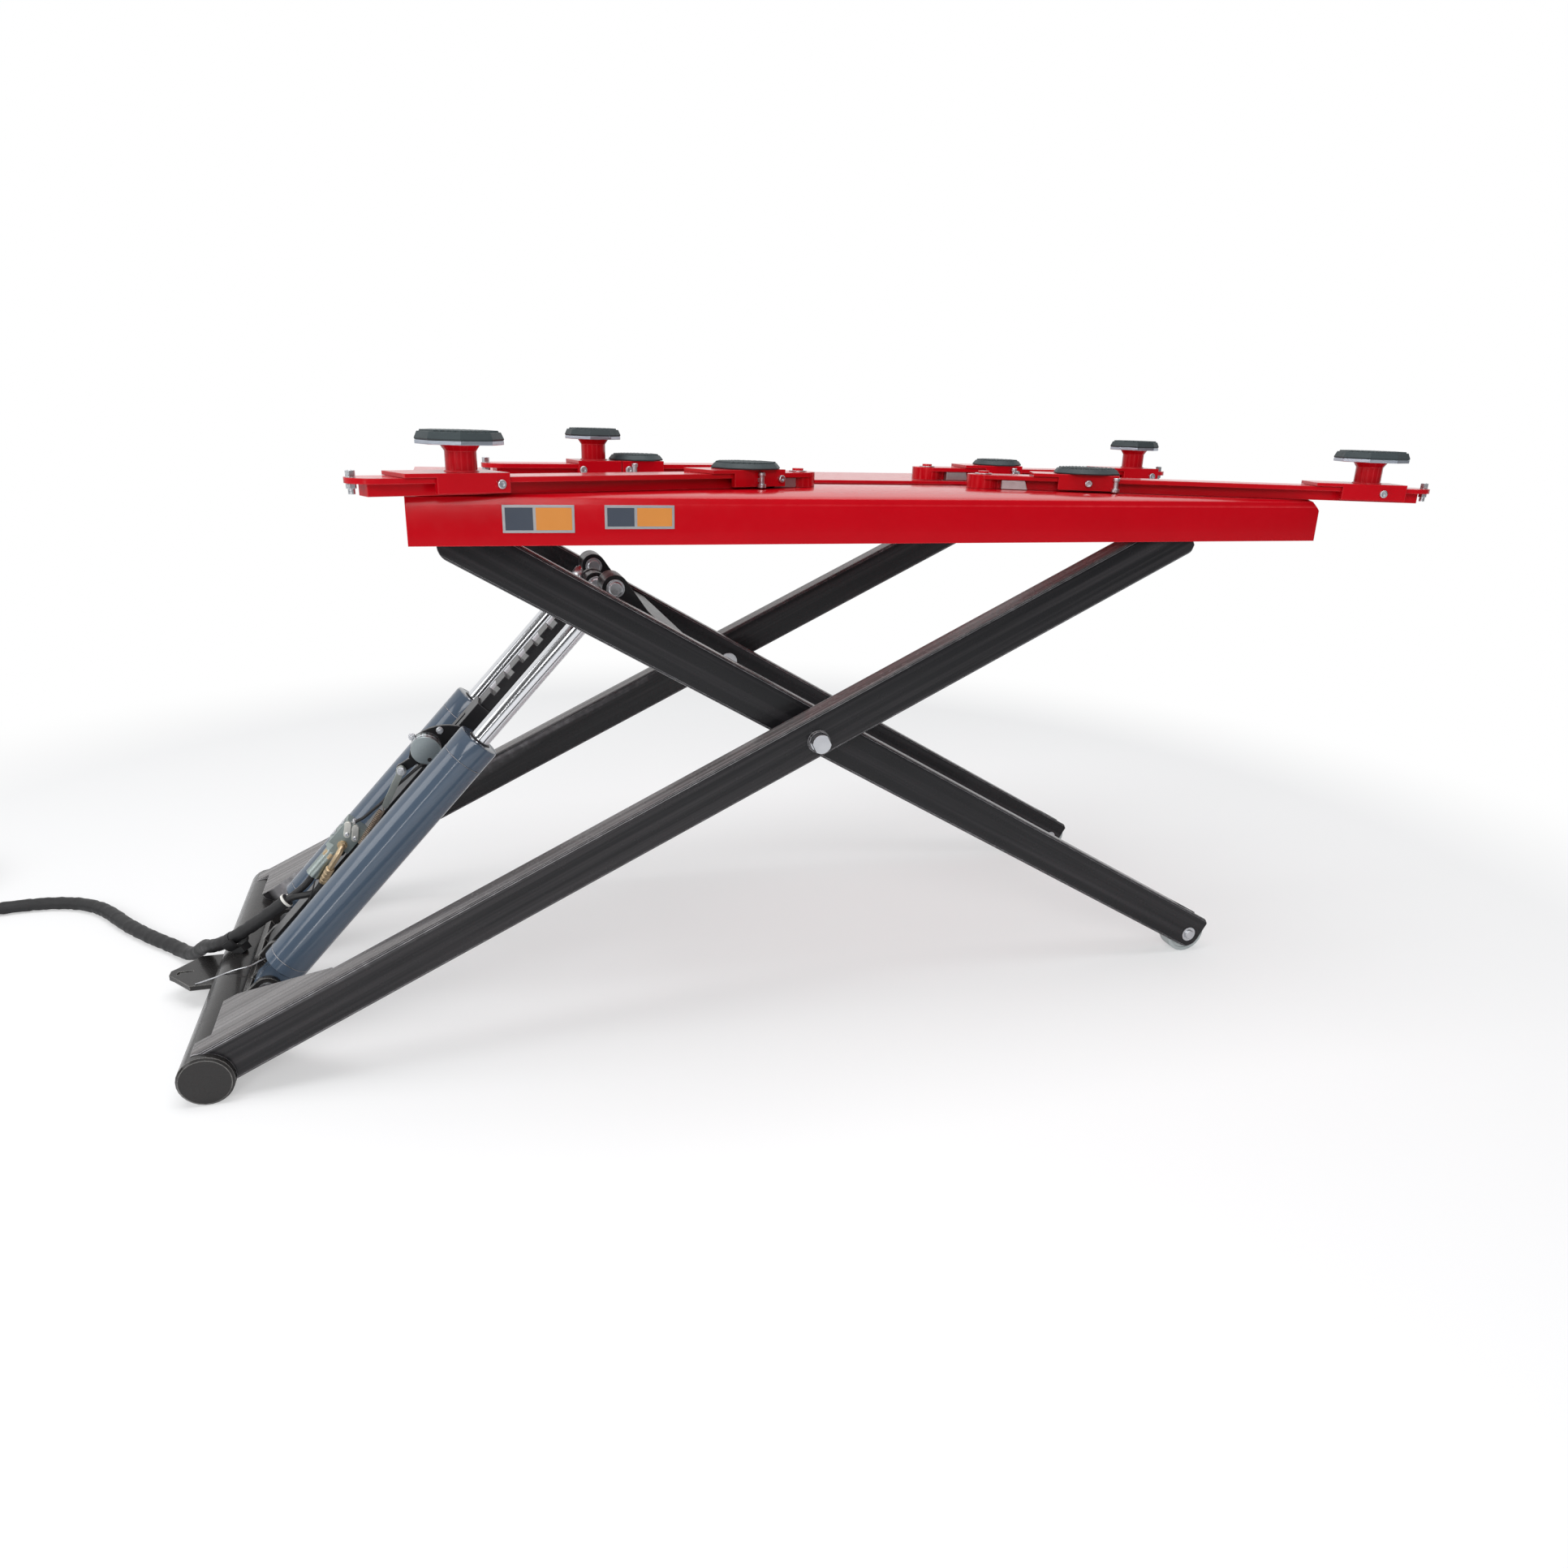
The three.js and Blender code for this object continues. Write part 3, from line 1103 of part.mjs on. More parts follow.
function makeValve() {
  const face = -SLEEVE_WIDTH / 2 - RUN_GAP;
  const x0 = VALVE_PLACE - VALVE_LENGTH / 2;
  const x1 = VALVE_PLACE + VALVE_LENGTH / 2;
  const low = SLEEVE_DEPTH / 2 + RUN_GAP;
  const y0 = -VALVE_Y - VALVE_DEPTH / 2;
  const y1 = -VALVE_Y + VALVE_DEPTH / 2;
  let valve = block(x0, x1, y0, y1, low, low + VALVE_HEIGHT);
  const r = FITTING_DIAMETER / 2;
  const z = low + VALVE_HEIGHT / 2;
  valve = valve.add(barX(r, x0 - FITTING_LENGTH, x0 + OVERRUN, -VALVE_Y, z, SMALL_SIDES));
  valve = valve.add(barX(r + PIN_HEAD, x0 - FITTING_NUT, x0 + OVERRUN, -VALVE_Y, z, NUT_SIDES));
  return piece('valve_block', valve, VALVE);
}

safety.add(makeActuator(), makeLever(), makeSpring(), makeValve());
safety.updateMatrixWorld(true);

// Hose lead from the valve's fitting to the clip on the base tube

const fittingEnd = VALVE_PLACE - VALVE_LENGTH / 2 - FITTING_LENGTH - HOSE_JOIN_GAP;
const fittingRise = SLEEVE_DEPTH / 2 + RUN_GAP + VALVE_HEIGHT / 2;
const LEAD_START = safety.localToWorld(new THREE.Vector3(fittingEnd, -VALVE_Y, fittingRise));
const LEAD_NEXT = safety.localToWorld(new THREE.Vector3(fittingEnd - HOSE_DIAMETER, -VALVE_Y, fittingRise));
const CLIP_CENTRE = new THREE.Vector3(...CLIP_PLACE);
const CLIP_TURN = rad(CLIP_TURN_DEG);
const CLIP_DIP = rad(CLIP_DIP_DEG);
const CLIP_AXIS = new THREE.Vector3(
  -Math.cos(CLIP_DIP) * Math.cos(CLIP_TURN),
  Math.cos(CLIP_DIP) * Math.sin(CLIP_TURN),
  -Math.sin(CLIP_DIP),
);
const LEAD_ROUTE = [
  [98, -24.9, 193.1],
  [76.1, -24.8, 177.2],
  [53.1, -23.8, 160.8],
  [21.6, -19.2, 138.6],
];

function makeLead() {
  const end = CLIP_CENTRE.clone();
  const before = end.clone().addScaledVector(CLIP_AXIS, -HOSE_STRAIGHT);
  const points = LEAD_ROUTE.map(([x, y, z]) => new THREE.Vector3(x, y, z));
  const route = [LEAD_START, LEAD_NEXT, ...points, before, end];
  const curve = new THREE.CatmullRomCurve3(route, false, 'centripetal');
  return piece('hose_lead', tubeAlong(curve, HOSE_DIAMETER / 2, HOSE_SIDES, LEAD_STEPS), HOSE);
}

// The clip is a trough on the tube, open above, and the lead and the free hose meet in its middle
function makeClip() {
  const r = HOSE_DIAMETER / 2 + CLIP_BORE_GAP;
  const half = CLIP_LENGTH / 2;
  const foot = CLIP_FOOT_WIDTH / 2;
  const ahead = CLIP_AXIS.clone();
  const aside = new THREE.Vector3(0, 0, 1).cross(ahead).normalize();
  const above = ahead.clone().cross(aside);
  const place = new THREE.Matrix4().makeBasis(ahead, aside, above).setPosition(CLIP_CENTRE);
  let clip = barX(r + CLIP_WALL, -half, half, 0, 0, PIN_SIDES);
  clip = clip.add(block(-half, half, -foot, foot, -r - CLIP_FOOT_DEPTH, 0));
  clip = clip.subtract(barX(r, -half - OVERRUN, half + OVERRUN, 0, 0, PIN_SIDES));
  const open = r + CLIP_WALL + OVERRUN;
  clip = clip.subtract(block(-half - OVERRUN, half + OVERRUN, -open, open, 0, open));
  const wide = outerRadius(TUBE_RADIUS + RUN_GAP, ROUND_SIDES);
  const tube = new THREE.CylinderGeometry(wide, wide, BASE_WIDTH, ROUND_SIDES);
  tube.translate(BASE_AXIS.x, 0, BASE_AXIS.z);
  tube.applyMatrix4(place.clone().invert());
  clip = clip.subtract(toSolid(tube));
  const mesh = piece('hose_clip', clip, HOSE);
  mesh.applyMatrix4(place);
  return mesh;
}

// Free hose: from the clip over the tube, down to the floor and away to the left

const FLOOR_Z = HOSE_DIAMETER / 2 + RUN_GAP;
const COIL_ENTRY = new THREE.Vector3(-870, 436, FLOOR_Z);
const HOSE_ROUTE = [
  [-37.1, 10.4, 96.6],
  [-64.9, 43.3, 77.7],
  [-74.9, 60.8, 70.7],
  [-86.2, 81.3, 59.3],
  [-105.2, 109.6, 38.1],
  [-120.3, 131, 26.6],
  [-138.7, 156.5, 19.6],
  [-161.8, 185.5, FLOOR_Z],
  [-186.1, 211.6, FLOOR_Z],
  [-217.4, 244.4, FLOOR_Z],
  [-280.6, 319.2, FLOOR_Z],
  [-342.3, 405.2, FLOOR_Z],
  [-373, 438, FLOOR_Z],
  [-415, 466, FLOOR_Z],
  [-468, 482, FLOOR_Z],
  [-530, 484, FLOOR_Z],
  [-600, 474, FLOOR_Z],
  [-680, 458, FLOOR_Z],
  [-770, 444, FLOOR_Z],
];

function makeHoseRun() {
  const start = CLIP_CENTRE.clone().addScaledVector(CLIP_AXIS, HOSE_JOIN_GAP);
  const next = start.clone().addScaledVector(CLIP_AXIS, HOSE_STRAIGHT);
  const end = COIL_ENTRY.clone();
  const beforeEnd = end.clone();
  beforeEnd.x += HOSE_DIAMETER;
  const points = HOSE_ROUTE.map(([x, y, z]) => new THREE.Vector3(x, y, z));
  const route = [start, next, ...points, beforeEnd, end];
  const curve = new THREE.CatmullRomCurve3(route, false, 'centripetal');
  console.log('hose run, length', curve.getLength().toFixed(0));
  return piece('hose_run', tubeAlong(curve, HOSE_DIAMETER / 2, HOSE_SIDES, HOSE_STEPS), HOSE);
}

// Stored coil: the hose spirals in on the floor, climbs a layer in half a turn and spirals out again

class CoilCurve extends THREE.Curve {
  constructor(centre, radius, pitch) {
    super();
    this.centre = centre;
    this.radius = radius;
    this.pitch = pitch;
    this.turns = COIL_INWARD_TURNS + COIL_CLIMB_TURNS + COIL_OUTWARD_TURNS;
    this.straight = HOSE_DIAMETER;
    this.wound = this.turns * Math.PI * 2 * radius;
  }

  wind(turn) {
    const middle = COIL_INWARD_TURNS + COIL_CLIMB_TURNS / 2;
    const radius = this.radius - this.pitch * (middle - Math.abs(turn - middle));
    const climb = THREE.MathUtils.smoothstep(turn, COIL_INWARD_TURNS, COIL_INWARD_TURNS + COIL_CLIMB_TURNS);
    const angle = -Math.PI / 2 - turn * Math.PI * 2;
    const x = this.centre.x + radius * Math.cos(angle);
    const y = this.centre.y + radius * Math.sin(angle);
    return new THREE.Vector3(x, y, this.centre.z + this.pitch * climb);
  }

  getPoint(t) {
    const along = t * (this.wound + this.straight * 2) - this.straight;
    const turn = THREE.MathUtils.clamp(along / this.wound, 0, 1) * this.turns;
    const point = this.wind(turn);
    if (along < 0) point.x -= along;
    if (along > this.wound) {
      const back = this.wind(this.turns - 1 / COIL_LOOP_STEPS);
      const heading = point.clone().sub(back).setZ(0).normalize();
      point.addScaledVector(heading, along - this.wound);
    }
    return point;
  }
}

const COIL_PITCH = HOSE_DIAMETER + COIL_GAP;
const COIL_CENTRE = COIL_ENTRY.clone();
COIL_CENTRE.x -= HOSE_JOIN_GAP + HOSE_DIAMETER;
COIL_CENTRE.y += COIL_RADIUS;
const coil = new CoilCurve(COIL_CENTRE, COIL_RADIUS, COIL_PITCH);

function makeCoil() {
  const steps = Math.round(coil.turns * COIL_LOOP_STEPS) + 2;
  const points = Array.from({ length: steps + 1 }, (_, i) => coil.getPoint(i / steps));
  const gap = leastGap(points, COIL_LOOP_STEPS - 4, HOSE_DIAMETER);
  console.log('stored coil, length', coil.getLength().toFixed(0), 'least gap between turns', gap.toFixed(2));
  return piece('hose_coil', tubeAlong(coil, HOSE_DIAMETER / 2, COIL_SIDES, steps), HOSE);
}

// Quick coupling on the end of the coil

function makeCoupling() {
  const end = coil.getPoint(1);
  const heading = coil.getTangent(1).setZ(0).normalize();
  const r = COUPLING_DIAMETER / 2;
  const nose = COUPLING_NOSE_DIAMETER / 2;
  const grooveAt = COUPLING_LENGTH / 2;
  const profile = [
    [0, 0],
    [0, r - COUPLING_GROOVE],
    [COUPLING_GROOVE, r],
    [grooveAt - COUPLING_GROOVE, r],
    [grooveAt, r - COUPLING_GROOVE],
    [grooveAt + COUPLING_GROOVE, r],
    [COUPLING_LENGTH, r],
    [COUPLING_LENGTH, nose],
    [COUPLING_LENGTH + COUPLING_NOSE_LENGTH, nose],
    [COUPLING_LENGTH + COUPLING_NOSE_LENGTH, 0],
  ];
  const mesh = piece('hose_coupling', turnedX(profile, SMALL_SIDES), ZINC);
  mesh.position.copy(end).addScaledVector(heading, HOSE_JOIN_GAP);
  mesh.position.z += r - HOSE_DIAMETER / 2;
  mesh.rotation.z = Math.atan2(heading.y, heading.x);
  return mesh;
}

lift.add(makeLead(), makeClip(), makeHoseRun(), makeCoil(), makeCoupling());

// Platform: two channel beams joined by cross members, on the platform pins

const platform = new THREE.Group();
platform.position.copy(PLATFORM_PIN);
lift.add(platform);

function beamSection(side) {
  const out = side * BEAM_OUT;
  const inside = side * (BEAM_OUT - BEAM_SHEET);
  const edge = side * FLANGE_IN;
  const top = PIN_TO_TOP;
  const under = PIN_TO_TOP - BEAM_SHEET;
  const bottom = PIN_TO_TOP - BEAM_HEIGHT;
  const shape = new THREE.Shape();
  shape.moveTo(edge, under);
  shape.lineTo(inside - side * (BEAM_BEND - BEAM_SHEET), under);
  shape.quadraticCurveTo(inside, under, inside, under - BEAM_BEND + BEAM_SHEET);
  shape.lineTo(inside, bottom);
  shape.lineTo(out, bottom);
  shape.lineTo(out, top - BEAM_BEND);
  shape.quadraticCurveTo(out, top, out - side * BEAM_BEND, top);
  shape.lineTo(edge, top);
  shape.closePath();
  return shape;
}

function makeSideBeam({ side, word }) {
  const left = -BEAM_BACK;
  const right = left + BEAM_LENGTH;
  const under = PIN_TO_TOP - BEAM_SHEET;
  let beam = prismX(beamSection(side), left, right);
  const corner = outline([
    [right - END_CHAMFER, PIN_TO_TOP + OVERRUN],
    [right + OVERRUN, PIN_TO_TOP + OVERRUN],
    [right + OVERRUN, PIN_TO_TOP - END_CHAMFER - OVERRUN],
  ].reverse());
  const [c0, c1] = across(side, FLANGE_IN - OVERRUN, BEAM_OUT + OVERRUN);
  beam = beam.subtract(plateXZ(corner, c0, c1));
  const earTop = under + BEAM_SHEET / 2;
  const ear = teardrop([0, 0], EAR_RADIUS, [EAR_LENGTH / 2, earTop], [-EAR_LENGTH / 2, earTop]);
  const [e0, e1] = across(side, INNER_IN - EAR_GAP - EAR_THICKNESS, INNER_IN - EAR_GAP);
  beam = beam.add(plateXZ(ear, e0, e1));
  const [b0, b1] = across(side, INNER_IN - EAR_GAP - EAR_THICKNESS - OVERRUN, INNER_IN);
  beam = beam.subtract(barY(boreFor(PLATFORM_PIN_DIAMETER), b0, b1, 0, 0));
  const trackIn = OUTER_IN + CHEEK_THICKNESS + TRACK_SIDE_GAP;
  const trackOut = OUTER_OUT - CHEEK_THICKNESS - TRACK_SIDE_GAP;
  const track = across(side, trackIn, trackOut);
  const slide = SLIDE_PIN.x - PLATFORM_PIN.x - TRACK_BACK;
  beam = beam.add(block(slide, slide + TRACK_LENGTH, track[0], track[1], TRACK_RISE, earTop));
  return piece(`side_beam_${word}`, beam, RED);
}

function makeCrossMember(name, place) {
  const half = CROSS_MEMBER_WIDTH / 2;
  const reach = FLANGE_IN + MEMBER_LAP;
  const top = PIN_TO_TOP - BEAM_SHEET - RUN_GAP;
  const bottom = top - CROSS_MEMBER_DEPTH;
  let member = block(place - half, place + half, -reach, reach, bottom, top);
  const wall = CROSS_MEMBER_WALL;
  member = member.subtract(block(place - half + wall, place + half - wall, -reach - OVERRUN, reach + OVERRUN,
    bottom - OVERRUN, top - wall));
  return piece(name, member, RED);
}

function makePlatformPin({ side, word }) {
  const outerEnd = INNER_OUT - BLIND_WALL - BLIND_GAP;
  const innerEnd = INNER_IN - EAR_GAP - EAR_THICKNESS - RUN_GAP;
  const [y0, y1] = across(side, innerEnd - PIN_HEAD, outerEnd);
  const [h0, h1] = across(side, innerEnd - PIN_HEAD, innerEnd);
  let pin = barY(PLATFORM_PIN_DIAMETER / 2, y0, y1, 0, 0);
  pin = pin.add(barY(PLATFORM_PIN_DIAMETER / 2 + PIN_HEAD, h0, h1, 0, 0));
  return piece(`platform_pin_${word}`, pin, ZINC);
}

SIDES.forEach((place) => platform.add(makeSideBeam(place), makePlatformPin(place)));
platform.add(makeCrossMember('cross_member_left', LEFT_MEMBER_PLACE));
platform.add(makeCrossMember('cross_member_right', RIGHT_MEMBER_PLACE));

// Swing arms: each has a bar with a plate on it, and two carriers that slide along the plate

const ARM_TOP = ARM_LIFT + ARM_BAR_HEIGHT + ARM_PLATE_THICKNESS;
const CARRIER_TOP = ARM_TOP + CARRIER_GAP + CARRIER_SHEET;

function makeArm(arm) {
  const half = ARM_PLATE_WIDTH / 2;
  const barTop = ARM_LIFT + ARM_BAR_HEIGHT;
  const shape = new THREE.Shape();
  shape.moveTo(0, -half);
  shape.lineTo(arm.length - half, -half);
  shape.absarc(arm.length - half, 0, half, -Math.PI / 2, Math.PI / 2);
  shape.lineTo(0, half);
  shape.closePath();
  let solid = plateXY(shape, barTop, ARM_TOP);
  const barHalf = ARM_BAR_WIDTH / 2;
  const barEnd = arm.length - ARM_BAR_SETBACK;
  solid = solid.add(block(0, barEnd, -barHalf, barHalf, ARM_LIFT, barTop + OVERRUN));
  solid = solid.add(barZ(ARM_BOSS_DIAMETER / 2, ARM_LIFT, ARM_TOP, 0, 0));
  solid = solid.add(barZ(ARM_PIN_DIAMETER / 2, barTop, ARM_TOP + PIN_HEAD * 2, 0, 0, SMALL_SIDES));
  return piece(`arm_${arm.name}`, solid, RED);
}

function makeCarrier({ runOn, skirt }) {
  const half = ARM_PLATE_WIDTH / 2 + CARRIER_GAP;
  const wide = half + CARRIER_SHEET;
  const plateTop = ARM_TOP + CARRIER_GAP;
  const lipTop = ARM_LIFT + ARM_BAR_HEIGHT - CARRIER_GAP;
  const lipBottom = lipTop - CARRIER_SKIRT;
  const long = skirt / 2;
  let carrier = block(-long, long, -wide, wide, lipBottom, CARRIER_TOP);
  carrier = carrier.subtract(block(-long - OVERRUN, long + OVERRUN, -half, half, lipTop, plateTop));
  const lipEdge = half - CARRIER_LIP;
  carrier = carrier.subtract(block(-long - OVERRUN, long + OVERRUN, -lipEdge, lipEdge,
    lipBottom - OVERRUN, plateTop));
  const start = Math.min(0, runOn * (long + CARRIER_RUN_ON));
  const end = Math.max(0, runOn * (long + CARRIER_RUN_ON));
  return runOn ? carrier.add(block(start, end, -wide, wide, plateTop, CARRIER_TOP)) : carrier;
}

function makeTallCarrier(arm) {
  let carrier = makeCarrier(arm);
  const r = POST_DIAMETER / 2;
  const flare = POST_FLARE_DIAMETER / 2;
  const top = CARRIER_TOP + POST_HEIGHT;
  const spigot = SPIGOT_DIAMETER / 2;
  const post = [
    [CARRIER_TOP - CARRIER_SHEET / 2, 0],
    [CARRIER_TOP - CARRIER_SHEET / 2, r],
    [top - POST_FLARE, r],
    [top, flare],
    [top, spigot],
    [top + SPIGOT_LENGTH - TALL_PAD_RUBBER, spigot],
    [top + SPIGOT_LENGTH - TALL_PAD_RUBBER, 0],
  ];
  carrier = carrier.add(turnedZ(post, 0, 0));
  return piece(`tall_carrier_${arm.name}`, carrier, RED);
}

// The tall pad is a steel plate with rubber on it, and it turns on the post's spigot
function makeTallPad(arm) {
  const bottom = CARRIER_TOP + POST_HEIGHT + PAD_SEAT_GAP;
  const top = bottom + TALL_PAD_PLATE + TALL_PAD_RUBBER;
  let pad = plateXY(octagon(arm.pad), bottom, top);
  const bore = boreFor(SPIGOT_DIAMETER);
  const boreTop = CARRIER_TOP + POST_HEIGHT + SPIGOT_LENGTH - TALL_PAD_RUBBER + RUN_GAP;
  pad = pad.subtract(barZ(bore, bottom - OVERRUN, boreTop, 0, 0));
  return piece(`tall_pad_${arm.name}`, pad, RUBBER);
}

function makeLowPad(arm) {
  const bottom = CARRIER_TOP + PAD_SEAT_GAP;
  const pad = plateXY(octagon(arm.pad), bottom, bottom + LOW_PAD_HEIGHT);
  return piece(`low_pad_${arm.name}`, pad, RUBBER);
}

ARMS.forEach((arm) => {
  const group = new THREE.Group();
  group.position.set(BEAM_LEFT + arm.along, arm.side * HUB_ACROSS, PLATFORM_TOP);
  const splay = rad(arm.splay);
  group.rotation.z = Math.atan2(arm.side * Math.sin(splay), arm.heading * Math.cos(splay));
  const tall = new THREE.Group();
  tall.position.x = arm.length * arm.tall_share;
  tall.add(makeTallCarrier(arm), makeTallPad(arm));
  const low = new THREE.Group();
  low.position.x = arm.length * arm.low_share;
  low.add(piece(`low_carrier_${arm.name}`, makeCarrier(arm), RED), makeLowPad(arm));
  group.add(makeArm(arm), tall, low);
  lift.add(group);
});

export default lift;
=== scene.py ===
# %% [markdown]
# # A mobile scissor car lift, raised
#
# The solids of this lift come from a CAD frame, already in metres and already in place. This file
# adds what the photograph shows and a plain solid can't: paint, chrome, rubber, the hose, the small
# screws and blocks, and the light. Nothing here moves a CAD part.

from math import atan2, cos, pi, radians, sin, sqrt

import bmesh
import bpy
from mathutils import Matrix, Vector


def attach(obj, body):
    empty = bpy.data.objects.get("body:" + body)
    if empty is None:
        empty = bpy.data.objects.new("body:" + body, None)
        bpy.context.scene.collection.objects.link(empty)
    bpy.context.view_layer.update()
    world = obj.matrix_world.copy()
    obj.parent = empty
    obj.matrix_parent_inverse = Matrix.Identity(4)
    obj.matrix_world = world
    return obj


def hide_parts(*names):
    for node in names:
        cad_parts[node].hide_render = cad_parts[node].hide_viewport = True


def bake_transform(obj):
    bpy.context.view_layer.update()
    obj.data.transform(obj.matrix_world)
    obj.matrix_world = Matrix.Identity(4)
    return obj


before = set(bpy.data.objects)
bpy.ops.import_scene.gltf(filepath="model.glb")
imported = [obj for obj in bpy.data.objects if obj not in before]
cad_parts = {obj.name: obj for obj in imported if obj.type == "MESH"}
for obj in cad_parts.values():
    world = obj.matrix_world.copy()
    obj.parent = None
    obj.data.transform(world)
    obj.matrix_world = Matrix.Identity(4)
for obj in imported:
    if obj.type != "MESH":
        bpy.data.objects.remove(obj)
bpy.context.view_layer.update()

# %% [markdown]
# ## Camera
#
# The camera stands where the photographer stood: in front of the lift, a little to the left of its
# middle, about chest high, and it looks down and to the right with a short lens. The picture leans by a
# degree and a half, so the camera rolls by as much.

# %% Set the camera
CAMERA_PLACE = Vector((0.4438, -2.1126, 1.1045))
YAW, PITCH, ROLL = radians(17.33), radians(18.89), radians(1.65)
LENS_MM = 24.742
SENSOR_MM = 36.0


def add_object(name, data):
    added = bpy.data.objects.new(name, data)
    bpy.context.scene.collection.objects.link(added)
    return added


forward = Vector((sin(YAW) * cos(PITCH), cos(YAW) * cos(PITCH), -sin(PITCH)))
level_right = Vector((cos(YAW), -sin(YAW), 0.0))
level_up = level_right.cross(forward)
right = level_right * cos(ROLL) + level_up * sin(ROLL)
up = level_up * cos(ROLL) - level_right * sin(ROLL)

camera_data = bpy.data.cameras.new("camera")
camera_data.lens = LENS_MM
camera_data.sensor_width = SENSOR_MM
camera = add_object("camera", camera_data)
turn = Matrix((right, up, -forward)).transposed()
camera.matrix_world = Matrix.Translation(CAMERA_PLACE) @ turn.to_4x4()
bpy.context.scene.camera = camera
print("camera at", tuple(round(v, 3) for v in CAMERA_PLACE))

# %% [markdown]
# ## Small tools for shapes
#
# A flat plate is an outline pulled up to a thickness, and a round piece is a profile turned about an
# axis. Both are drawn about the origin and then put in place with one matrix.


# %% Shapes
def points_at(bm, outline, height, place):
    return [bm.verts.new(place @ Vector((x, y, height))) for x, y in outline]


def bridge(bm, low, high):
    """Faces between two rings of points, where a ring can be one point."""
    steps = max(len(low), len(high))
    for i in range(steps):
        j = (i + 1) % steps
        corners = (low[i % len(low)], low[j % len(low)], high[j % len(high)], high[i % len(high)])
        bm.faces.new(list(dict.fromkeys(corners)))


def add_frustum(bm, low_outline, high_outline, low, high, place=Matrix()):
    """A closed solid between two outlines of as many points."""
    bottom = points_at(bm, low_outline, low, place)
    top = points_at(bm, high_outline, high, place)
    bm.faces.new(bottom[::-1])
    bm.faces.new(top)
    bridge(bm, bottom, top)


def add_plate(bm, outline, low, high, place=Matrix()):
    """An outline of (x, y) points, from low to high along Z."""
    add_frustum(bm, outline, outline, low, high, place)


def add_turned(bm, profile, place=Matrix(), steps=32):
    """A profile of (height, radius) pairs turned about Z. It starts and ends on the axis."""
    rings = [points_at(bm, polygon(steps, radius) if radius else [(0, 0)], height, place)
             for height, radius in profile]
    for low, high in zip(rings, rings[1:]):
        bridge(bm, low, high)


def polygon(sides, radius):
    angles = [2 * pi * i / sides for i in range(sides)]
    return [(radius * cos(angle), radius * sin(angle)) for angle in angles]


def box_outline(x0, x1, y0, y1):
    return [(x0, y0), (x1, y0), (x1, y1), (x0, y1)]


def bar(low, high, radius):
    """The profile of a plain round bar or disc."""
    return [(low, 0), (low, radius), (high, radius), (high, 0)]


def looking(point, direction, side=Vector((1, 0, 0))):
    """A matrix that takes Z to a direction and X close to a side, with its origin at a point."""
    z = Vector(direction).normalized()
    x = (Vector(side) - Vector(side).dot(z) * z).normalized()
    y = z.cross(x)
    return Matrix.Translation(Vector(point)) @ Matrix((x, y, z)).transposed().to_4x4()


def moved(place, x=0.0, y=0.0, z=0.0):
    """A place moved along its own axes."""
    return place @ Matrix.Translation((x, y, z))


print("shapes ready")

# %% [markdown]
# ## Small tools for pieces
#
# A piece is a mesh that rides on a body of the frame. Small bevels let its edges catch the light.


# %% Pieces
def made(name, material, body, draw, edge=0.0, sharp=35):
    """Makes a finished piece of what draw adds to an empty mesh. edge is the width of its bevels."""
    bm = bmesh.new()
    draw(bm)
    mesh = bpy.data.meshes.new(name)
    bmesh.ops.recalc_face_normals(bm, faces=bm.faces)
    bm.to_mesh(mesh)
    bm.free()
    for face in mesh.polygons:
        face.use_smooth = True
    mesh.set_sharp_from_angle(angle=radians(sharp))
    mesh.materials.append(material)
    piece = add_object(name, mesh)
    if edge:
        bevel = piece.modifiers.new("soft edge", "BEVEL")
        bevel.width = edge
        bevel.segments = 2
        bevel.limit_method = "ANGLE"
        bevel.angle_limit = radians(sharp)
        bevel.harden_normals = True
    if body:
        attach(piece, body)
    return piece


def turned(name, material, body, profile, place, steps, edge=0.0):
    return made(name, material, body, lambda bm: add_turned(bm, profile, place, steps), edge)


def piped(name, material, body, line, size, sides):
    return made(name, material, body, lambda bm: add_tube(bm, line, size, sides), sharp=60)


print("piece tools ready")

# %% [markdown]
# ## Materials
#
# The materials are built from nodes. The small class below adds a node and sets or links its inputs.


# %% Node tools
class Tree:
    """Adds nodes to a tree, with inputs given as values or as other nodes' outputs."""

    def __init__(self, tree):
        self.tree = tree

    def add(self, kind, settings=None, **inputs):
        node = self.tree.nodes.new("ShaderNode" + kind)
        for key, value in (settings or {}).items():
            setattr(node, key, value)
        return self.fill(node, **inputs)

    def fill(self, node, **inputs):
        """Sets or links inputs, by name with _ for a blank or by number, as in i0."""
        for key, value in inputs.items():
            key = int(key[1:]) if key[0] == "i" and key[1:].isdigit() else key.replace("_", " ")
            socket = node.inputs[key]
            if isinstance(value, bpy.types.NodeSocket):
                self.tree.links.new(value, socket)
            else:
                socket.default_value = (*value, 1.0) if socket.type == "RGBA" else value
        return node

    def ramp(self, factor, stops):
        node = self.add("ValToRGB", Fac=factor)
        elements = node.color_ramp.elements
        while len(elements) < len(stops):
            elements.new(0.5)
        for element, (place, level) in zip(elements, stops):
            element.position = place
            element.color = (level, level, level, 1)
        return node.outputs["Color"]

    def math(self, operation, a, b=0.0):
        return self.add("Math", {"operation": operation}, i0=a, i1=b).outputs[0]

    def spread(self, factor, low, high):
        return self.add("MapRange", Value=factor, To_Min=low, To_Max=high).outputs[0]

    def mix(self, factor, a, b):
        return self.add("Mix", {"data_type": "RGBA"}, i0=factor, i6=a, i7=b).outputs[2]


print("node tools ready")
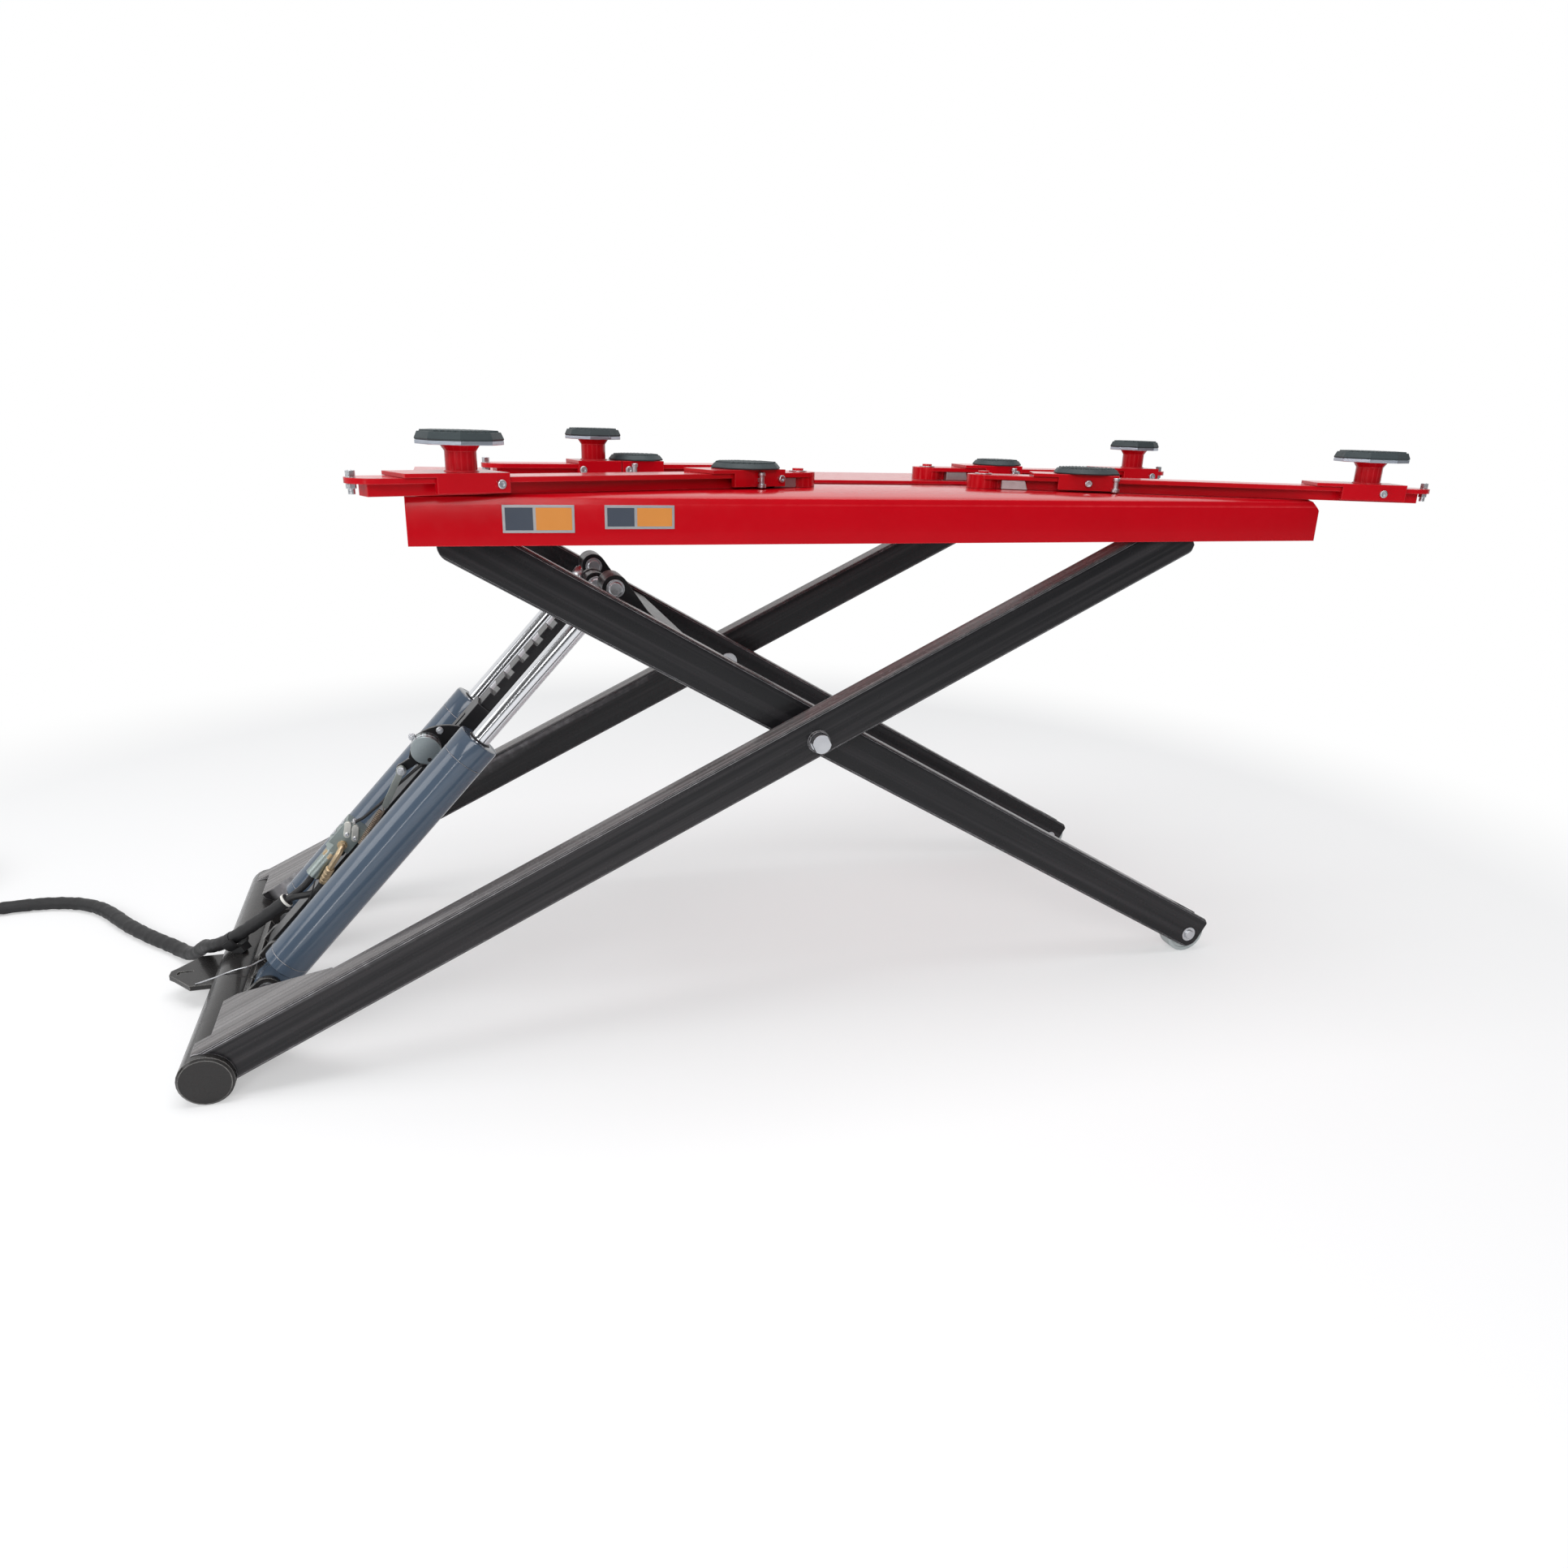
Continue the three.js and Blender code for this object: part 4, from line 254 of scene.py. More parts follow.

# %% [markdown]
# ## Grain, bump and pale edges, scuffed and lit
#
# One node group gives all materials fine noise for their colour, roughness and bump, so that a
# highlight breaks up. The bump can also round the edges in the shading, which catches the light along
# the corner of a tube, and a mask finds the edges, which the paints tint pale as wear and as a painted
# highlight.


# %% Grain and edges
def new_material(name):
    material = bpy.data.materials.new(name)
    material.use_nodes = True
    shader = material.node_tree.nodes["Principled BSDF"]
    return material, Tree(material.node_tree), shader


def grain_group():
    """Grain: noise for colour, for roughness and for a fine bump, by real sizes in metres."""
    group = bpy.data.node_groups.new("Grain", "ShaderNodeTree")
    face = group.interface
    for name in ("Fine", "Coarse"):
        face.new_socket(name, in_out="INPUT", socket_type="NodeSocketFloat")
    for name in ("Patches", "Smears", "Height"):
        face.new_socket(name, in_out="OUTPUT", socket_type="NodeSocketFloat")
    tree = Tree(group)
    come = group.nodes.new("NodeGroupInput")
    go = group.nodes.new("NodeGroupOutput")
    place = tree.add("TexCoord").outputs["Object"]
    coarse = tree.add("TexNoise", Vector=place, Scale=come.outputs["Coarse"], Detail=4.0)
    closer = tree.math("MULTIPLY", come.outputs["Coarse"], 5.0)
    smears = tree.add("TexNoise", Vector=place, Scale=closer, Detail=6.0, Roughness=0.65)
    fine = tree.add("TexNoise", Vector=place, Scale=come.outputs["Fine"], Detail=2.0)
    group.links.new(coarse.outputs["Fac"], go.inputs["Patches"])
    group.links.new(tree.ramp(smears.outputs["Fac"], [(0.42, 0), (0.72, 1)]), go.inputs["Smears"])
    group.links.new(fine.outputs["Fac"], go.inputs["Height"])
    return group


GRAIN = grain_group()


def use_grain(tree, fine=900.0, coarse=9.0):
    node = tree.add("Group", {"node_tree": GRAIN}, Fine=fine, Coarse=coarse)
    return node.outputs["Patches"], node.outputs["Smears"], node.outputs["Height"]


def bump(tree, shader, height, strength, distance, rounding=0.0):
    node = tree.add("Bump", Height=height, Strength=strength, Distance=distance)
    if rounding:
        tree.fill(node, Normal=tree.add("Bevel", {"samples": 4}, Radius=rounding).outputs["Normal"])
    tree.fill(shader, Normal=node.outputs["Normal"])


def edge_mask(tree, radius):
    """White on sharp edges and black on flats, from the angle between two normals."""
    rounded = tree.add("Bevel", {"samples": 4}, Radius=radius).outputs["Normal"]
    flat = tree.add("NewGeometry").outputs["True Normal"]
    same = tree.add("VectorMath", {"operation": "DOT_PRODUCT"}, i0=rounded, i1=flat).outputs["Value"]
    return tree.ramp(same, [(0.965, 1), (0.992, 0)])


print("grain ready")

# %% [markdown]
# ## Paints
#
# Three paints cover most of the lift: a charcoal powder coat on legs and base, a glossy red on the
# platform and arms, and a blue-grey on the barrels. Each slope of the legs has a coat of its own,
# because the wiping marks run along the leg. Powder coat reflects little when seen square on, so its
# specular level is low.


# %% Paints
SCUFF_AND_HIGHLIGHT_RADIUS = 0.002
TOP_SHEEN_DARK, TOP_SHEEN_PALE = (0.075, 0.07, 0.07), (0.2, 0.19, 0.19)


def add_streaks(tree, base, lean, streak):
    """Faint lines along a leg of slope lean, with a painted sheen that makes them stronger and paler where
    the face looks up.
    """
    place = tree.add("TexCoord").outputs["Object"]
    along = tree.add("Mapping", {"vector_type": "TEXTURE"}, Vector=place,
                     Rotation=(0.0, -radians(lean), 0.0), Scale=(1.2, 0.012, 0.012)).outputs[0]
    lines = tree.add("TexNoise", Vector=along, Scale=1.0, Detail=4.0, Roughness=0.6).outputs["Fac"]
    base = tree.mix(tree.ramp(lines, [(0.45, 0), (0.75, 1)]), base, streak)
    # Faces that look up are painted paler along the lines: a painted sheen for the light that top faces
    # catch.
    facing = tree.add("NewGeometry").outputs["True Normal"]
    upward = tree.add("SeparateXYZ", Vector=facing).outputs["Z"]
    top_sheen = tree.mix(tree.ramp(lines, [(0.38, 0), (0.62, 1)]), TOP_SHEEN_DARK, TOP_SHEEN_PALE)
    return tree.mix(tree.ramp(upward, [(0.7, 0), (0.85, 1)]), base, top_sheen)


def make_paint(name, colour, dark, rough, coat, peel=0.05, rounding=0.0022, shine=0.2,
               edge_scuff_and_highlight=None, lean=None, streak=None):
    """Paint. Its edge colour tints the edges both as worn paint and as a painted highlight along lit corners,
    and streak is the colour of its streaks.
    """
    material, tree, shader = new_material(name)
    patches, smears, height = use_grain(tree)
    base = tree.mix(patches, dark, colour)
    if streak:
        base = add_streaks(tree, base, lean, streak)
    if edge_scuff_and_highlight:
        # Edges take the pale colour: partly worn paint, partly a painted highlight where a lit corner would
        # shine.
        scuff_and_highlight_mask = tree.math("MULTIPLY", edge_mask(tree, SCUFF_AND_HIGHLIGHT_RADIUS), tree.spread(smears, 0.45, 1.0))
        base = tree.mix(scuff_and_highlight_mask, base, edge_scuff_and_highlight)
    tree.fill(shader, Base_Color=base, Roughness=tree.spread(smears, rough, rough + 0.07),
              Specular_IOR_Level=shine, Coat_Weight=coat, Coat_Roughness=0.06, Coat_IOR=1.35)
    if peel:
        bump(tree, shader, height, peel, 0.0004, rounding)
    return material


# The pale edge colours below are partly worn paint and partly a painted highlight along lit corners. On the
# legs they are mostly the painted highlight.
COAT, COAT_DARK = (0.014, 0.0135, 0.015), (0.009, 0.009, 0.01)
CHARCOAL = make_paint("charcoal powder coat", COAT, COAT_DARK, 0.3, 0.15, edge_scuff_and_highlight=(0.2, 0.2, 0.21))
OUTER_COAT = make_paint("outer leg coat", COAT, COAT_DARK, 0.24, 0.15,
                        edge_scuff_and_highlight=(0.55, 0.54, 0.56), lean=26.3, streak=(0.036, 0.033, 0.035))
INNER_COAT = make_paint("inner leg coat", COAT, COAT_DARK, 0.24, 0.15,
                        edge_scuff_and_highlight=(0.5, 0.49, 0.51), lean=-29.757, streak=(0.034, 0.031, 0.034))
BASE_COAT = make_paint("base coat, scuffed and lit at edges", (0.03, 0.028, 0.027), (0.016, 0.0155, 0.016), 0.26, 0.25,
                       edge_scuff_and_highlight=(0.4, 0.39, 0.37))
RED = make_paint("glossy red", (0.5, 0.0015, 0.008), (0.43, 0.0012, 0.006), 0.2, 0.2, shine=0.16,
                 edge_scuff_and_highlight=(0.75, 0.06, 0.07))
BARREL = make_paint("barrel paint", (0.07, 0.098, 0.138), (0.062, 0.087, 0.124), 0.14, 0.4, peel=0.0,
                    shine=0.35)
print("paints ready")

# %% [markdown]
# ## Metals
#
# The rods are hard chrome and nearly a mirror. Zinc plated pins are duller and a little blotchy. The
# hub blocks are cast and then galvanised, and the disc of the air release is brushed.


# %% Metals
def make_grained(name, colour, dark, rough, spread, fine, coarse, depth, reach, rounding=0.0, **inputs):
    """A material between two tints, with a fine bump and a roughness that varies by spread."""
    material, tree, shader = new_material(name)
    patches, smears, height = use_grain(tree, fine, coarse)
    tree.fill(shader, Base_Color=tree.mix(patches, dark, colour),
              Roughness=tree.spread(smears, rough, rough + spread), **inputs)
    if depth:
        bump(tree, shader, height, depth, reach, rounding)
    return material


def make_metal(name, colour, dark, rough, spread, fine=1500.0, coarse=60.0, depth=0.1):
    return make_grained(name, colour, dark, rough, spread, fine, coarse, depth, 0.0003, 0.0008, Metallic=1.0)


CHROME = make_metal("hard chrome", (0.72, 0.73, 0.75), (0.66, 0.67, 0.7), 0.13, 0.03, depth=0.0)
ZINC = make_metal("zinc plate", (0.66, 0.67, 0.69), (0.5, 0.51, 0.54), 0.28, 0.2)
BLOCK = make_metal("galvanised casting", (0.52, 0.5, 0.5), (0.36, 0.34, 0.35), 0.46, 0.2,
                   fine=500.0, coarse=90.0, depth=0.5)
BRASS = make_metal("passivated fitting", (0.6, 0.47, 0.31), (0.44, 0.34, 0.22), 0.4, 0.2)
VALVE = make_metal("anodised block", (0.36, 0.41, 0.4), (0.26, 0.3, 0.29), 0.36, 0.15)
TAB = make_metal("pale tab", (0.76, 0.75, 0.7), (0.62, 0.61, 0.56), 0.34, 0.15)
SPRING = make_metal("dark spring wire", (0.34, 0.27, 0.21), (0.2, 0.16, 0.13), 0.32, 0.15)
LEVER = make_metal("lever strip", (0.42, 0.44, 0.41), (0.28, 0.3, 0.28), 0.34, 0.15)
PLATE = make_metal("pad plate", (0.52, 0.56, 0.63), (0.42, 0.46, 0.53), 0.34, 0.18)
RIM = make_metal("label rim", (0.48, 0.48, 0.49), (0.38, 0.38, 0.4), 0.4, 0.15)


def make_brushed(name, colour, dark, rough):
    """Metal with close brush marks in its tint and its bump."""
    material, tree, shader = new_material(name)
    smears = use_grain(tree, 1200.0, 50.0)[1]
    place = tree.add("TexCoord").outputs["Object"]
    lines = tree.add("TexNoise", Vector=place, Scale=420.0, Detail=3.0).outputs["Fac"]
    tree.fill(shader, Base_Color=tree.mix(lines, dark, colour), Metallic=1.0,
              Roughness=tree.spread(smears, rough, rough + 0.12))
    bump(tree, shader, lines, 0.15, 0.0003, 0.0006)
    return material


DISC = make_brushed("brushed disc", (0.36, 0.4, 0.41), (0.29, 0.33, 0.34), 0.34)
print("metals ready")

# %% [markdown]
# ## Rubber and plastic
#
# Rubber and plastic are matt and speckled. The fields of the labels are plain paint.


# %% Rubber and plastic
def make_soft(name, colour, dark, rough, depth=0.3, fine=700.0):
    return make_grained(name, colour, dark, rough, 0.12, fine, 14.0, depth, 0.0004, Specular_IOR_Level=0.35)


NYLON = make_soft("pale nylon", (0.5, 0.54, 0.54), (0.4, 0.44, 0.44), 0.42, 0.1)
BLACK_PLASTIC = make_soft("black plastic", (0.02, 0.02, 0.021), (0.012, 0.012, 0.013), 0.4, 0.1)
WHITE_PLASTIC = make_soft("white tie", (0.75, 0.74, 0.7), (0.62, 0.61, 0.57), 0.4, 0.05)
HOSE = make_soft("hose sleeve", (0.022, 0.022, 0.023), (0.012, 0.012, 0.013), 0.5, 0.5, 1100.0)
PAD_RUBBER = make_soft("pad rubber", (0.04, 0.055, 0.06), (0.024, 0.034, 0.037), 0.55, 0.4, 500.0)
SLATE = make_soft("slate field", (0.05, 0.062, 0.085), (0.042, 0.052, 0.072), 0.35, 0.05)
AMBER = make_soft("amber field", (0.62, 0.24, 0.045), (0.55, 0.2, 0.035), 0.35, 0.05)
print("soft materials ready")

# %% [markdown]
# ## Smooth shading for the CAD nodes
#
# The frame's round pieces are faceted. A modifier shades them smooth and keeps true corners sharp.


# %% Smooth by angle
def smooth_group(angle):
    group = bpy.data.node_groups.new("Smooth by angle", "GeometryNodeTree")
    for way in ("INPUT", "OUTPUT"):
        group.interface.new_socket("Geometry", in_out=way, socket_type="NodeSocketGeometry")
    nodes, links = group.nodes, group.links
    come, go = nodes.new("NodeGroupInput"), nodes.new("NodeGroupOutput")
    weld = nodes.new("GeometryNodeMergeByDistance")
    weld.inputs["Distance"].default_value = 0.00001
    bare = nodes.new("GeometryNodeRemoveAttribute")
    bare.inputs["Name"].default_value = "custom_normal"
    faces = nodes.new("GeometryNodeSetShadeSmooth")
    edges = nodes.new("GeometryNodeSetShadeSmooth")
    edges.domain = "EDGE"
    edges.inputs["Shade Smooth"].default_value = False
    measured = nodes.new("GeometryNodeInputMeshEdgeAngle")
    over = nodes.new("FunctionNodeCompare")
    over.inputs[1].default_value = radians(angle)
    links.new(measured.outputs["Unsigned Angle"], over.inputs[0])
    links.new(over.outputs["Result"], edges.inputs["Selection"])
    chain = [come, bare, weld, faces, edges, go]
    for before, after in zip(chain, chain[1:]):
        links.new(before.outputs[0], after.inputs["Geometry"])
    return group


SMOOTH = smooth_group(32)
print("smoothing ready")

# %% [markdown]
# ## A look for each CAD node
#
# The first line whose words begin a node's name gives its material. All the rest is charcoal.


# %% Dress the CAD nodes
LOOKS = [
    (("side_beam", "cross_member", "arm_", "tall_carrier", "low_carrier"), RED),
    ("barrel", BARREL),
    ("rod", CHROME),
    (("floor_roller", "slide_block"), NYLON),
    (("tall_pad", "low_pad"), PAD_RUBBER),
    ("outer_leg", OUTER_COAT),
    ("inner_leg", INNER_COAT),
    (("base_tube", "hitch_plate", "base_lugs"), BASE_COAT),
    ("valve_block", VALVE),
    (("lower_pin", "safety_lower_pin", "pivot_pin", "platform_pin", "roller_pin"), ZINC),
    ("release_lever", LEVER),
    (("return_spring", "hose_coupling"), ZINC),
    ("hose", HOSE),
]


def look_of(name):
    for starts, material in LOOKS:
        if name.startswith(starts):
            return material
    return CHARCOAL


for name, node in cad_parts.items():
    node.data.materials.clear()
    node.data.materials.append(look_of(name))
    shade = node.modifiers.new("smooth by angle", "NODES")
    shade.node_group = SMOOTH
print("finished", len(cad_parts), "CAD nodes")

# %% [markdown]
# ## Places on the lift
#
# A small piece needs the place and slope of the part that it sits on, in the raised position. Each
# matrix below has its X along a sleeve, a leg or an arm and its Z square to it.


# %% Part places
def slope_place(x, y, z, slope):
    ahead = Vector((cos(slope), 0, sin(slope)))
    above = Vector((-sin(slope), 0, cos(slope)))
    place = Matrix((ahead, Vector((0, 1, 0)), above)).transposed().to_4x4()
    place.translation = Vector((x, y, z))
    return place


SLEEVE = slope_place(0.069977, 0, 0.09019, radians(47.622))
INNER = slope_place(1.044407, 0, 0.560628, radians(-29.757))
PLATFORM_TOP = 0.980129
ARM_TOP = 0.0264
CARRIER_TOP = 0.0328
POST_TOP = 0.0708
HUB_APART = 0.135
# Name, side, heading, hub place, swing, then along the arm: tip, tall pad, low pad, and half a pad
ARMS = [
    ("near_left", -1, -1, 1.070074, 22.9, 0.824, 0.65302, 0.121952, 0.059),
    ("far_left", 1, -1, 1.070074, -10.0, 0.568, 0.353978, 0.267982, 0.049),
    ("near_right", -1, 1, 1.450074, 23.4, 0.824, 0.712018, 0.195041, 0.059),
    ("far_right", 1, 1, 1.450074, -4.0, 0.568, 0.492002, 0.161994, 0.049),
]


def arm_places():
    """For each arm: its name, the side it is seen from, its place, tip, pads' places and half a pad."""
    for name, side, heading, hub, splay, tip, tall, low, pad in ARMS:
        turn_by = atan2(side * sin(radians(splay)), heading * cos(radians(splay)))
        place = Matrix.Translation((hub, side * HUB_APART, PLATFORM_TOP)) @ Matrix.Rotation(turn_by, 4, "Z")
        yield name, -heading, place, tip, moved(place, tall), moved(place, low), pad


def at(x, y, z, direction=(0, 0, 1), side=(1, 0, 0)):
    return looking((x, y, z), direction, side)


print("places ready for", len(ARMS), "arms")

# %% [markdown]
# ## Lines and tubes
#
# Hoses, wires, springs and rings are tubes along a line, which is smoothed through a few points.


# %% Lines and tubes
def smooth_line(points, steps=12):
    """A smooth line through points: a centripetal Catmull-Rom curve."""
    line = []
    padded = [points[0] * 2 - points[1], *points, points[-1] * 2 - points[-2]]
    for a, b, c, d in zip(padded, padded[1:], padded[2:], padded[3:]):
        ab, bc, cd = (sqrt((q - p).length) for p, q in ((a, b), (b, c), (c, d)))
        leave = ((b - a) / ab - (c - a) / (ab + bc) + (c - b) / bc) * bc
        arrive = ((c - b) / bc - (d - b) / (bc + cd) + (d - c) / cd) * bc
        for i in range(steps):
            t = i / steps
            line.append(b * (2 * t**3 - 3 * t**2 + 1) + c * (3 * t**2 - 2 * t**3)
                        + leave * (t**3 - 2 * t**2 + t) + arrive * (t**3 - t**2))
    return line + [points[-1]]


def even_line(line, spacing):
    """The same line with even steps."""
    gone = [0.0]
    for a, b in zip(line, line[1:]):
        gone.append(gone[-1] + (b - a).length)
    count = max(2, round(gone[-1] / spacing))
    even, i = [], 0
    for k in range(count + 1):
        want = gone[-1] * k / count
        while i < len(line) - 2 and gone[i + 1] < want:
            i += 1
        share = (want - gone[i]) / max(gone[i + 1] - gone[i], 1e-9)
        even.append(line[i].lerp(line[i + 1], share))
    return even, gone[-1]


def add_tube(bm, line, size, sides=12, closed=False):
    """A tube along a line. size gives the half width, half height and rise of the section at each point."""
    rings, side = [], Vector((0, 0, 1)).cross(line[1] - line[0])
    if side.length < 1e-6:
        side = Vector((1, 0, 0))
    count = len(line)
    for k, point in enumerate(line):
        before = line[(k - 1) % count] if closed or k else point
        after = line[(k + 1) % count] if closed or k < count - 1 else point
        ahead = (after - before).normalized()
        side = (side - side.dot(ahead) * ahead).normalized()
        above = ahead.cross(side)
        wide, high, rise = size(k) if callable(size) else (size, size, 0.0)
        ring = []
        for i in range(sides):
            angle = 2 * pi * (i + 0.5) / sides
            ring.append(bm.verts.new(point + side * wide * cos(angle) + above * (high * sin(angle) + rise)))
        rings.append(ring)
    pairs = list(zip(rings, rings[1:])) + ([(rings[-1], rings[0])] if closed else [])
    for low, high in pairs:
        bridge(bm, low, high)
    if not closed:
        bm.faces.new(rings[0][::-1])
        bm.faces.new(rings[-1])


def ease(value, low, high):
    share = min(max((value - low) / (high - low), 0.0), 1.0)
    return share * share * (3 - 2 * share)


def metres(points):
    return [Vector(p) / 1000 for p in points]


print("tubes ready")

# %% [markdown]
# ## The hose
#
# A black bundle in a loose fabric sleeve leaves the valve, passes a clip on the base tube, drops to the
# floor and runs out of the picture, along the same points as in the CAD source. Its unseen length lies
# in a coil just outside the view.

# %% Free hose and its coil
HOSE_THICK = 0.036
CLIP = Vector((-0.0101, -0.0081, 0.1159))
CLIP_DIP, CLIP_TURN = radians(32.4), radians(27)
CLIP_AXIS = Vector((-cos(CLIP_DIP) * cos(CLIP_TURN), cos(CLIP_DIP) * sin(CLIP_TURN), -sin(CLIP_DIP)))
COIL_ENTRY = Vector((-0.87, 0.436, 0.0183))
ROUTE = metres([
    (-37.1, 10.4, 96.6), (-64.9, 43.3, 77.7), (-74.9, 60.8, 70.7), (-86.2, 81.3, 59.3), (-105.2, 109.6, 38.1),
    (-120.3, 131, 26.6), (-138.7, 156.5, 19.6), (-161.8, 185.5, 18.3), (-186.1, 211.6, 18.3),
    (-217.4, 244.4, 18.3), (-280.6, 319.2, 18.3), (-342.3, 405.2, 18.3), (-373, 438, 18.3), (-415, 466, 18.3),
    (-468, 482, 18.3), (-530, 484, 18.3), (-600, 474, 18.3), (-680, 458, 18.3), (-770, 444, 18.3),
])
COIL_RADIUS = 0.214
COIL_PITCH = 0.0375
INWARD, CLIMB, OUTWARD = 1.0, 0.5, 0.75


def coil_line(steps=170):
    """The hose spirals in on the floor, climbs a layer in half a turn and spirals out again."""
    centre = COIL_ENTRY + Vector((-HOSE_THICK - 0.0003, COIL_RADIUS, 0))
    turns = INWARD + CLIMB + OUTWARD
    middle = INWARD + CLIMB / 2

    def wind(turn):
        radius = COIL_RADIUS - COIL_PITCH * (middle - abs(turn - middle))
        angle = -pi / 2 - turn * 2 * pi
        rise = COIL_PITCH * ease(turn, INWARD, INWARD + CLIMB)
        return centre + Vector((radius * cos(angle), radius * sin(angle), rise))

    line = [wind(turns * i / steps) for i in range(steps + 1)]
    heading = line[-1] - wind(turns - 1 / 24)
    heading.z = 0
    return line + [line[-1] + heading.normalized() * HOSE_THICK]


start = CLIP + CLIP_AXIS * 0.0003
near_coil = COIL_ENTRY + Vector((HOSE_THICK, 0, 0))
run = smooth_line([start, start + CLIP_AXIS * 0.01, *ROUTE, near_coil, COIL_ENTRY])
run_length = even_line(run, 0.01)[1]
hose_line, hose_length = even_line(run + coil_line(), 0.007)


def sleeve_size(k):
    """Thin where the hose hangs, flatter where it lies, full in the coil, with small wrinkles."""
    gone = hose_length * k / (len(hose_line) - 1)
    lies = ease(gone, 0.1, 0.26)
    stored = ease(gone, run_length - 0.16, run_length - 0.02)
    wrinkle = 0.0006 * sin(gone * 300) + 0.0005 * sin(gone * 173 + 1.3) + 0.0004 * sin(gone * 517)
    wide = 0.0132 + 0.0022 * lies + 0.002 * stored + wrinkle
    high = 0.0132 - 0.0002 * lies + 0.0044 * stored + wrinkle * 0.6
    rise = -0.0042 * lies * (1 - stored)
    return min(wide, 0.0174), min(high, 0.0176), rise


hose = piped("hose_sleeve", HOSE, "base", hose_line, sleeve_size, 14)
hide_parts("hose_run", "hose_coil")
print("hose", round(hose_length, 3), "m, of which in the coil", round(hose_length - run_length, 3))

# %% [markdown]
# ## The lead between valve and clip
#
# Between the valve and the clip the bundle shows what is in it: two hoses come out of crimped fittings
# and go into the sleeve under a white tie.

# %% Hose lead
LEAD_ROUTE = metres([(98, -24.9, 193.1), (76.1, -24.8, 177.2), (53.1, -23.8, 160.8), (21.6, -19.2, 138.6)])
before_clip = CLIP - CLIP_AXIS * 0.01
into_clip = CLIP + CLIP_AXIS * 0.004
lead_line, lead_length = even_line(smooth_line([*LEAD_ROUTE, before_clip, into_clip]), 0.006)


def lead_size(k):
    gone = lead_length * k / (len(lead_line) - 1)
    wrinkle = 0.0005 * sin(gone * 300) + 0.0004 * sin(gone * 173)
    return 0.0126 + wrinkle, 0.0126 + wrinkle, 0.0


def twins(bm):
    for local, aside in ((Vector((0.166, -0.022, 0.0433)), 0.004), (Vector((0.166, -0.03, 0.0221)), -0.004)):
        beginning = SLEEVE @ local
        bend = SLEEVE @ (local + Vector((-0.028, 0, -0.002)))
        ending = LEAD_ROUTE[0].lerp(LEAD_ROUTE[1], 0.4) + Vector((0, aside, 0))
        middle = LEAD_ROUTE[0] + Vector((0.006, aside, 0.004))
        add_tube(bm, even_line(smooth_line([beginning, bend, middle, ending]), 0.006)[0], 0.0065, 12)


def band(bm):
    place = looking(LEAD_ROUTE[0].lerp(LEAD_ROUTE[1], 0.15), LEAD_ROUTE[1] - LEAD_ROUTE[0])
    add_turned(bm, bar(-0.0025, 0.0025, 0.0142), place, 28)
    add_plate(bm, box_outline(-0.004, 0.004, -0.0195, -0.012), -0.004, 0.004, place)


lead = piped("hose_lead_sleeve", HOSE, None, lead_line, lead_size, 14)
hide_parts("hose_lead")
twin = made("twin_hoses", BLACK_PLASTIC, None, twins, sharp=60)
tie = made("bundle_tie", WHITE_PLASTIC, None, band, edge=0.0004)
for piece in (lead, twin, tie):
    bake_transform(piece)
print("lead", round(lead_length, 3), "m")

# %% [markdown]
# ## The return spring
#
# A spring is only a spring if its wire really winds, so it is a tube along a helix with a hook at each
# end, in the space that the CAD spring keeps for it.

# %% Return spring
foot, tail = Vector((0.2679, -0.05, 0.017)), Vector((0.3581, -0.05, 0.031))
axis = (tail - foot).normalized()
level = Vector((0, 1, 0))
above = level.cross(axis)
CURLS, CURL_STEPS, CURL_RADIUS, WIRE_RADIUS, HOOK = 22, 14, 0.0055, 0.00105, 0.006
wound = (tail - foot).length - 2 * HOOK
wire = [foot - axis * 0.0005, foot + axis * 0.003 + above * 0.002]
for i in range(CURLS * CURL_STEPS + 1):
    turn_by = 2 * pi * i / CURL_STEPS
    along = HOOK + wound * i / (CURLS * CURL_STEPS)
    wire.append(foot + axis * along + (level * sin(turn_by) + above * cos(turn_by)) * CURL_RADIUS)
wire += [tail - axis * 0.003 + above * 0.002, tail + axis * 0.0005]
wire = [SLEEVE @ point for point in wire]
spring = piped("spring_coil", SPRING, "safety_sleeve", wire, WIRE_RADIUS, 8)
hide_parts("return_spring")
print("spring with", CURLS, "curls")

# %% [markdown]
# ## Bolts, rings and discs
#
# The small fittings repeat, so each kind is drawn by one function, at a place whose Z is its axis.


# %% Fasteners
def add_hex(bm, place, size, height, washer=0.0012):
    """A hexagon head on a washer, standing on the place's XY plane."""
    add_turned(bm, bar(0, washer, size * 0.62), place, 24)
    crown = washer + height
    add_plate(bm, polygon(6, size / sqrt(3)), washer, crown, place)
    add_turned(bm, [(crown, 0), (crown, size * 0.3), (crown + 0.0006, size * 0.26), (crown + 0.0006, 0)],
               place, 24)


def add_socket(bm, place, size, height):
    """A round head with a hollow for its key."""
    r, deep = size / 2, height * 0.4
    add_turned(bm, [(0, 0), (0, r), (height * 0.85, r), (height, r * 0.84), (height, r * 0.5),
                    (deep, r * 0.46), (deep, 0)], place, 24)


def add_ring(bm, place, radius, thick, steps=32):
    """A round wire bent to a ring about the place's Z."""
    add_tube(bm, [place @ Vector((x, y, 0)) for x, y in polygon(steps, radius)], thick, 8, closed=True)


def eye(half, radius, trim=0.0015):
    """The profile of an eye of this half width, with trimmed edges."""
    inner, less = half - trim, radius - trim
    return [(-half, 0), (-half, less), (-inner, radius), (inner, radius), (half, less), (half, 0)]


print("fasteners ready")

# %% [markdown]
# ## Air release
#
# The air release is a brushed disc with a small port, on a bent bracket with two screws. The stud of
# the lever is beside it.


# %% Air release
DISC_X, DISC_Z = 0.5, 0.044


